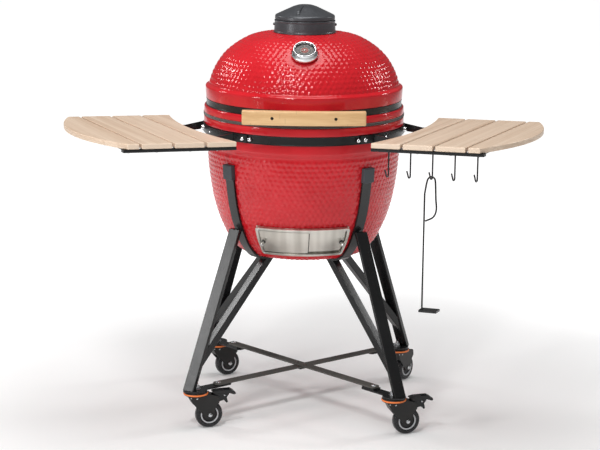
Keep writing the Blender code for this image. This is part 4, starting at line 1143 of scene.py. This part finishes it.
def make_casters():
    sideways = lambda a, b, c: (a, c, b)
    cheek = [(-0.026, 0.0985), (0.020, 0.0985), (0.061, 0.0885), (0.063, 0.071), (0.053, 0.062), (0.0455, 0.0285),
             (0.0265, 0.0285), (-0.010, 0.070)]
    cheek = fillet(cheek, 0.003, 4, True, {4: 0.010, 5: 0.0095, 6: 0.0095, 7: 0.010, 2: 0.006, 3: 0.004})
    race = [(0.0060, 0.0933), (0.0290, 0.0933), (0.0322, 0.0947), (0.0322, 0.0958), (0.0060, 0.0958)]
    seal = [(0.0300, 0.0959), (0.0330, 0.0959), (0.0336, 0.0981), (0.0330, 0.1003), (0.0300, 0.1003)]
    crown = [(0.0060, 0.0999), (0.0322, 0.1001), (0.0318, 0.1020), (0.0290, 0.1036), (0.0115, 0.1038),
             (0.0100, 0.1041), (0.0060, 0.1041)]
    tyre = [(0.0244, -0.0116), (0.0325, -0.0120), (0.0362, -0.0092), (0.0375, -0.0035), (0.0375, 0.0035),
            (0.0362, 0.0092), (0.0325, 0.0120), (0.0244, 0.0116)]
    ring = [(0.0212, -0.0118), (0.0246, -0.0118), (0.0246, 0.0118), (0.0212, 0.0118)]
    hub = [(0.0045, -0.0122), (0.0095, -0.0122), (0.0105, -0.0085), (0.0190, -0.0075), (0.0216, -0.0100),
           (0.0216, 0.0100), (0.0190, 0.0075), (0.0105, 0.0085), (0.0095, 0.0122), (0.0045, 0.0122)]
    nut = [(0, 0), (0.0058, 0), (0.0058, 0.0018), (0.0050, 0.0038), (0.0028, 0.0050), (0, 0.0054)]
    stem = [(-0.009, -0.004), (-0.002, -0.007), (0.008, -0.006), (0.020, -0.003), (0.026, -0.012), (0.031, -0.010),
            (0.027, 0.004), (0.034, 0.012), (0.034, 0.020), (-0.010, 0.020), (-0.006, 0.010)]
    blade = [(0.008, 0.0175), (0.034, 0.0155), (0.048, 0.0105), (0.053, 0.0125), (0.050, 0.0190), (0.040, 0.0245),
             (0.002, 0.0245), (-0.011, 0.0220), (-0.011, 0.0180)]
    for name, yaw in CASTER_YAW.items():
        angle = radians(FOOT_ANGLES[name])
        spot = (CASTER_REACH * sin(angle), -CASTER_REACH * cos(angle), 0)
        matrix = AXIS @ Matrix.Translation(spot) @ Matrix.Rotation(radians(yaw), 4, "Z")
        piece = Piece(f"fork_{name}", matrix)
        piece.add(FORK, turned(fillet(race, 0.0008, 2), 56, True), turned(fillet(crown, 0.0008, 2), 56, True))
        piece.add(SEAL, turned(fillet(seal, 0.0007, 2), 64, True))
        for side in (-0.0167, 0.0142):
            piece.add(FORK, prism(cheek, side, side + 0.0025, sideways, 0.0007))
        piece.add(FORK, box((-0.0255, -0.0150, 0.0930), (0.0400, 0.0150, 0.0965)))
        back = [(-0.0262, 0.0970), (-0.0232, 0.0975), (-0.0078, 0.0712), (-0.0104, 0.0694)]
        piece.add(FORK, prism(back, -0.0145, 0.0145, sideways, 0.0008))
        for side in (-1, 1):
            piece.add(ZINC, placed(turned(fillet(nut, 0.0005, 2, False), 24),
                                   facing((CASTER_TRAIL, side * 0.0165, WHEEL_R), (0, side, 0))))
            piece.add(ZINC, dome_bolt((0.0, side * 0.0167, 0.0860), (0, side, 0), 0.0024, 0.0014))
            piece.add(ZINC, dome_bolt((-0.0165, side * 0.0167, 0.0885), (0, side, 0), 0.0018, 0.0010))
        piece.add(STEEL, placed(turned([(0, -0.0165), (0.0042, -0.0165), (0.0042, 0.0165), (0, 0.0165)], 16),
                                facing((CASTER_TRAIL, 0, WHEEL_R), (0, 1, 0))))
        piece.done(f"caster_{name}", f"caster_fork_{name}", slot="caster_steel")
        place = matrix @ Matrix.Translation((CASTER_TRAIL, 0, WHEEL_R)) @ Matrix.Rotation(pi / 2, 4, "X")
        wheel = Piece(f"wheel_tyre_{name}", place)
        wheel.add(TYRE, turned(fillet(tyre, 0.0030, 4), 72, True))
        wheel.add(RIM_GREY, turned(fillet(ring, 0.0006, 2), 72, True))
        wheel.add(NYLON, turned(fillet(hub, 0.0008, 2), 56, True))
        wheel.done(f"wheel_{name}", f"caster_wheel_{name}", slot="caster_tyre")
        if not name.startswith("front"):
            continue
        place = matrix @ Matrix.Translation((PEDAL[0], 0, PEDAL[1]))
        pedal = Piece(f"pedal_blade_{name}", place)
        pedal.add(NYLON, prism(fillet(stem, 0.002, 3), -0.0100, 0.0100, sideways, 0.0008),
                  prism(fillet(blade, 0.003, 3), -0.0135, 0.0135, sideways, 0.0022, 3))
        for side in (-1, 1):
            pedal.add(ZINC, dome_bolt((0.0, side * 0.0100, 0.0), (0, side, 0), 0.0030, 0.0018))
            pedal.add(ZINC, dome_bolt((0.021, side * 0.0100, 0.010), (0, side, 0), 0.0024, 0.0014))
        slot = rounded_box((0.020, -0.0065, -0.0300), (0.0370, 0.0065, 0.0300), 0.004, None, 0.0)
        pedal.done(f"pedal_{name}", f"brake_pedal_{name}", slot="pedal_nylon", cut=[slot])


# ---- shelves ----

def shelf_top(p):
    return SHELF_TOP_Z + (p - SHELF_TOP_AT) * tan(SHELF_TILT)


def on_right_shelf(p, q, h):
    """The point outwards, across, and up from the planks' top on the right shelf."""
    x = p * cos(SHELF_TURN) + q * sin(SHELF_TURN)
    y = -p * sin(SHELF_TURN) + q * cos(SHELF_TURN)
    return (x, y, shelf_top(p) + h)


def edge(limits, q):
    """How far out a shelf's curved edge is at q across it."""
    return limits[1] + (limits[0] - limits[1]) * (q / SHELF_HALF) ** 2


def make_shelf(side_name, side):
    """side is -1 for the left shelf and 1 for the right one."""
    body = f"shelf_{side_name}"
    square = Matrix.Rotation(-side * SHELF_TURN, 4, "Z")
    tilted = lambda p, q, h: (side * p, q, shelf_top(p) + h)
    level = lambda p, q, z: (side * p, q, z)
    upright = lambda p, z, c: (side * p, c, z)
    across = even(-SHELF_HALF, SHELF_HALF, 28)
    starts = [None] + [gap + PLANK_GAP / 2 for gap in PLANK_GAPS]
    ends = [gap - PLANK_GAP / 2 for gap in PLANK_GAPS] + [None]
    for i, (start, end) in enumerate(zip(starts, ends)):
        near = [(edge(SHELF_INNER, q), q) for q in across] if start is None else [(start, q) for q in across[::28]]
        far = [(edge(SHELF_OUTER, q), q) for q in across] if end is None else [(end, q) for q in across[::28]]
        plank = Piece(f"plank_{side_name}_{i + 1}", turn=square)
        plank.add(SHELF_BAMBOO[side], prism(near + far[::-1], -PLANK_T, 0, tilted, 0.0026, 3))
        plank.done(body, f"shelf_{side_name}_plank_{i + 1}", slot="shelf_bamboo")
    under = -PLANK_T - 0.0003
    piece = Piece(f"rails_{side_name}", turn=square)
    for q in (-SHELF_HALF, SHELF_HALF - 0.018):
        piece.add(POWDER, box((RAIL[0], q, under - RAIL_T), (RAIL[1], q + 0.018, under), tilted, 0.0012))
        for p in (0.350, 0.425, 0.515, 0.590):
            spot = Vector(tilted(p, q + 0.009, under - RAIL_T))
            piece.add(ZINC, dome_bolt(spot, (0, 0, -1), 0.0040, 0.0022))
    for p in (0.345, 0.574):
        piece.add(POWDER, box((p, -SHELF_HALF + 0.004, under - RAIL_T + 0.001),
                              (p + 0.022, SHELF_HALF - 0.004, under - 0.001), tilted, 0.0012))
    for q in BRACKET_ARMS:
        q += 0.009 if q > 0 else -0.009
        lug = arc(SHELF_PIVOT, 0.0080, 115, 270, 14) + [(0.352, 0.7835), (0.366, 0.7845), (0.366, 0.7915),
                                                        (0.330, 0.7915)]
        piece.add(POWDER, prism(lug, q - 0.0025, q + 0.0025, upright, 0.0006))
    piece.done(body, f"shelf_{side_name}_frame", slot="black_steel")

    piece = Piece(f"arms_{side_name}", turn=square)
    turns = []
    for q in BRACKET_ARMS:
        reach = arc(SHELF_PIVOT, 0.0080, -80, 80, 14)
        start = (0.2738 ** 2 - q * q) ** 0.5 + 0.0012
        arm = [(start, 0.8045), (start, 0.7830)] + reach
        piece.add(POWDER, prism(arm, q - 0.0025, q + 0.0025, upright, 0.0006))
        turns.append(atan2(q, start) + radians(10) * (1 if q > 0 else -1))
    tab = [(r * cos(a), r * sin(a)) for r, ends in ((BRACKET_R, turns), (0.2722, turns[::-1]))
           for a in even(*ends, 48)]
    piece.add(POWDER, prism(tab, 0.7828, 0.8046, level, 0.0006))
    front = pi / 2 - SHELF_TURN
    for angle, size in BRACKET_BOLTS[side_name]:
        turn = radians(angle) - front
        spot = level(BRACKET_R * cos(turn), BRACKET_R * sin(turn), 0.7930)
        piece.add(CHROME, dome_bolt(spot, (side * cos(turn), sin(turn), 0), size, size * 0.85))
    place = facing(level(SHELF_PIVOT[0], 0, SHELF_PIVOT[1]), (0, 1, 0))
    for low, high in ((-0.128, -0.101), (0.111, 0.138)):
        piece.add(CHROME, placed(turned([(0, low), (0.0034, low), (0.0034, high), (0, high)], 20), place))
    shaft = [(0, -0.1345), (0.0030, -0.1345), (0.0036, -0.1338), (0.0036, 0.1440), (0.0030, 0.1447), (0, 0.1447)]
    piece.add(STEEL, placed(turned(shaft, 20), place))
    for q, way in ((-0.1170, -1), (0.1270, 1)):
        cap = [(0, 0), (0.0068, 0), (0.0068, 0.0020), (0.0055, 0.0046), (0.0030, 0.0058), (0, 0.0062)]
        piece.add(CHROME, placed(turned(fillet(cap, 0.0006, 2, False), 24),
                                 facing(level(SHELF_PIVOT[0], q, SHELF_PIVOT[1]), (0, way, 0))))
    piece.done("base", f"shelf_{side_name}_bracket", slot="black_steel")


def make_hooks_and_tool():
    under = -PLANK_T - 0.0003 - RAIL_T - 0.0003
    for i, p in enumerate(HOOKS):
        route = [(HOOK_Q, under + 0.0010), (HOOK_Q, under - HOOK_DROP), (HOOK_Q - 0.0110, under - HOOK_DROP),
                 (HOOK_Q - 0.0240, under - HOOK_DROP + 0.0200)]
        route = fillet([on_right_shelf(p, a, b) for a, b in route], 0.0055, 8, False)
        piece = Piece(f"wire_hook_{i + 1}").add(POWDER, tube(route, 0.0021, 12))
        piece.done("shelf_right", f"hook_{i + 1}", slot="black_steel")
    p = HOOKS[TOOL_HOOK]
    wire = 0.0023
    hang = HOOK_Q - 0.0055
    top = under - HOOK_DROP + 0.0021 + 0.0003 + wire + 0.0015
    shaft = p - 0.0175
    route = [(shaft + 0.004, top - 0.115), (p + 0.0070, top - 0.104), (p + 0.0150, top - 0.085),
             (p + 0.0130, top - 0.055), (p + 0.0110, top - 0.016), (p + 0.0080, top - 0.004), (p, top),
             (p - 0.0080, top - 0.004), (p - 0.0125, top - 0.016), (shaft, top - 0.045)]
    route = spline(route, 0.0030) + [(shaft, top - TOOL_DROP)]
    tool = Piece("rod_ash_tool")
    tool.add(POWDER, tube([on_right_shelf(a, hang, b) for a, b in route], wire, 12))
    low = top - TOOL_DROP
    tool.add(POWDER, box((shaft - 0.003, hang - 0.0180, low - 0.0060), (shaft + 0.046, hang + 0.0100, low + 0.0005),
                         on_right_shelf, 0.0008))
    tool.done("ash_tool_hung", "ash_tool", slot="black_steel")


# ---- the studio ----

GLOW_NEAR = 0.10      # the floor's own light: under the object, behind it, and outside the picture
GLOW_FAR = 0.88
GLOW_SIDES = 0.25
FLOOR_R = 40.0
FLOOR_SIDES = 64


def make_floor():
    """A white floor whose own light hides its edge and keeps a soft shadow under the object."""
    f = Finish("studio_floor", (0.86, 0.86, 0.86), 0.9)
    f.set("Base Color", f.blend(f.noise(3.0, 2), (0.855, 0.855, 0.855), (0.865, 0.865, 0.865)))
    f.set("Emission Color", (1.0, 1.0, 1.0, 1.0))
    x, y, _ = f.split(f.spot)
    reach = f.math("SQRT", f.math("ADD", f.math("MULTIPLY", x, x), f.math("MULTIPLY", y, y)))
    glow = f.between(reach, GLOW_NEAR, GLOW_FAR, 0.7, 2.4, "SMOOTHSTEP")
    ahead = f.between(y, 1.0, 0.0, -1.9, -0.9, "SMOOTHSTEP")
    side = f.between(f.math("ABSOLUTE", x), 0.0, 1.0, 2.6, 4.5, "SMOOTHSTEP")
    dim = f.math("MAXIMUM", ahead, side)
    f.set("Emission Strength", f.between(dim, glow, GLOW_SIDES))
    f.set("Specular IOR Level", 0.0)
    mesh = bpy.data.meshes.new("floor")
    turns = [2 * pi * k / FLOOR_SIDES for k in range(FLOOR_SIDES)]
    mesh.from_pydata([(FLOOR_R * cos(t), FLOOR_R * sin(t), 0.0) for t in turns], [], [tuple(range(FLOOR_SIDES))])
    mesh.materials.append(f.material)
    floor = bpy.data.objects.new("floor", mesh)
    scene.collection.objects.link(floor)
    floor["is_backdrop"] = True


def add_softbox(name, azimuth, elevation, reach, size, watts, aim=(0, 0, 0.72)):
    """A soft lamp; azimuth is counted from the front, towards the object's right-hand side in the picture."""
    a, e = radians(azimuth), radians(elevation)
    aim = Vector(aim) + Vector((0, AXIS_Y, 0))
    back = Vector((sin(a) * cos(e), -cos(a) * cos(e), sin(e)))
    lamp = bpy.data.lights.new(name, "AREA")
    lamp.shape = "RECTANGLE"
    lamp.size, lamp.size_y = size
    lamp.energy = watts
    thing = bpy.data.objects.new(name, lamp)
    thing.matrix_world = Matrix.Translation(aim + back * reach) @ back.to_track_quat("Z", "Y").to_matrix().to_4x4()
    scene.collection.objects.link(thing)


def make_studio():
    world = bpy.data.worlds.new("studio")
    world.use_nodes = True
    scene.world = world
    world.node_tree.nodes["Background"].inputs["Color"].default_value = (1.0, 1.0, 1.0, 1.0)
    world.node_tree.nodes["Background"].inputs["Strength"].default_value = 0.15
    make_floor()
    add_softbox("key", -20, 44, 3.2, (0.45, 0.65), 34)
    add_softbox("front", -18, 21, 3.4, (0.32, 0.32), 16)
    add_softbox("left", -112, 27, 2.8, (0.35, 0.6), 14)
    add_softbox("right", 110, 24, 3.0, (0.35, 0.6), 16)
    add_softbox("side", -54.6, 13.7, 3.4, (0.45, 1.0), 22, (-0.24, -0.20, 0.32))
    add_softbox("overhead", 0, 84, 3.0, (2.2, 2.2), 66)
    scene.view_settings.view_transform = "Standard"
    scene.view_settings.look = "None"


def make_camera():
    back = Vector((0, -cos(CAMERA_UP), sin(CAMERA_UP)))
    right = Vector((1, 0, 0))
    up = back.cross(right)
    r = right * cos(CAMERA_ROLL) + up * sin(CAMERA_ROLL)
    u = up * cos(CAMERA_ROLL) - right * sin(CAMERA_ROLL)
    matrix = Matrix((r, u, back)).transposed().to_4x4()
    matrix.translation = Vector(CAMERA_AIM) + Vector((0, AXIS_Y, 0)) + back * CAMERA_REACH
    lens = bpy.data.cameras.new("camera")
    lens.lens = CAMERA_LENS
    lens.sensor_width = 36.0
    lens.clip_end = 200.0
    camera = bpy.data.objects.new("camera", lens)
    camera.matrix_world = matrix
    scene.collection.objects.link(camera)
    scene.camera = camera


make_lid()
make_bowl()
make_bands()
make_gauge()
make_top_vent()
make_hinge()
make_handle()
make_inside()
make_draft()
make_stand()
make_casters()
make_shelf("left", -1)
make_shelf("right", 1)
make_hooks_and_tool()
make_camera()
make_studio()

plain = lambda bounds: [[float(v) for v in corner] for corner in bounds]
{"cad": plain(cad_bounds), "visual": plain(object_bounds())}
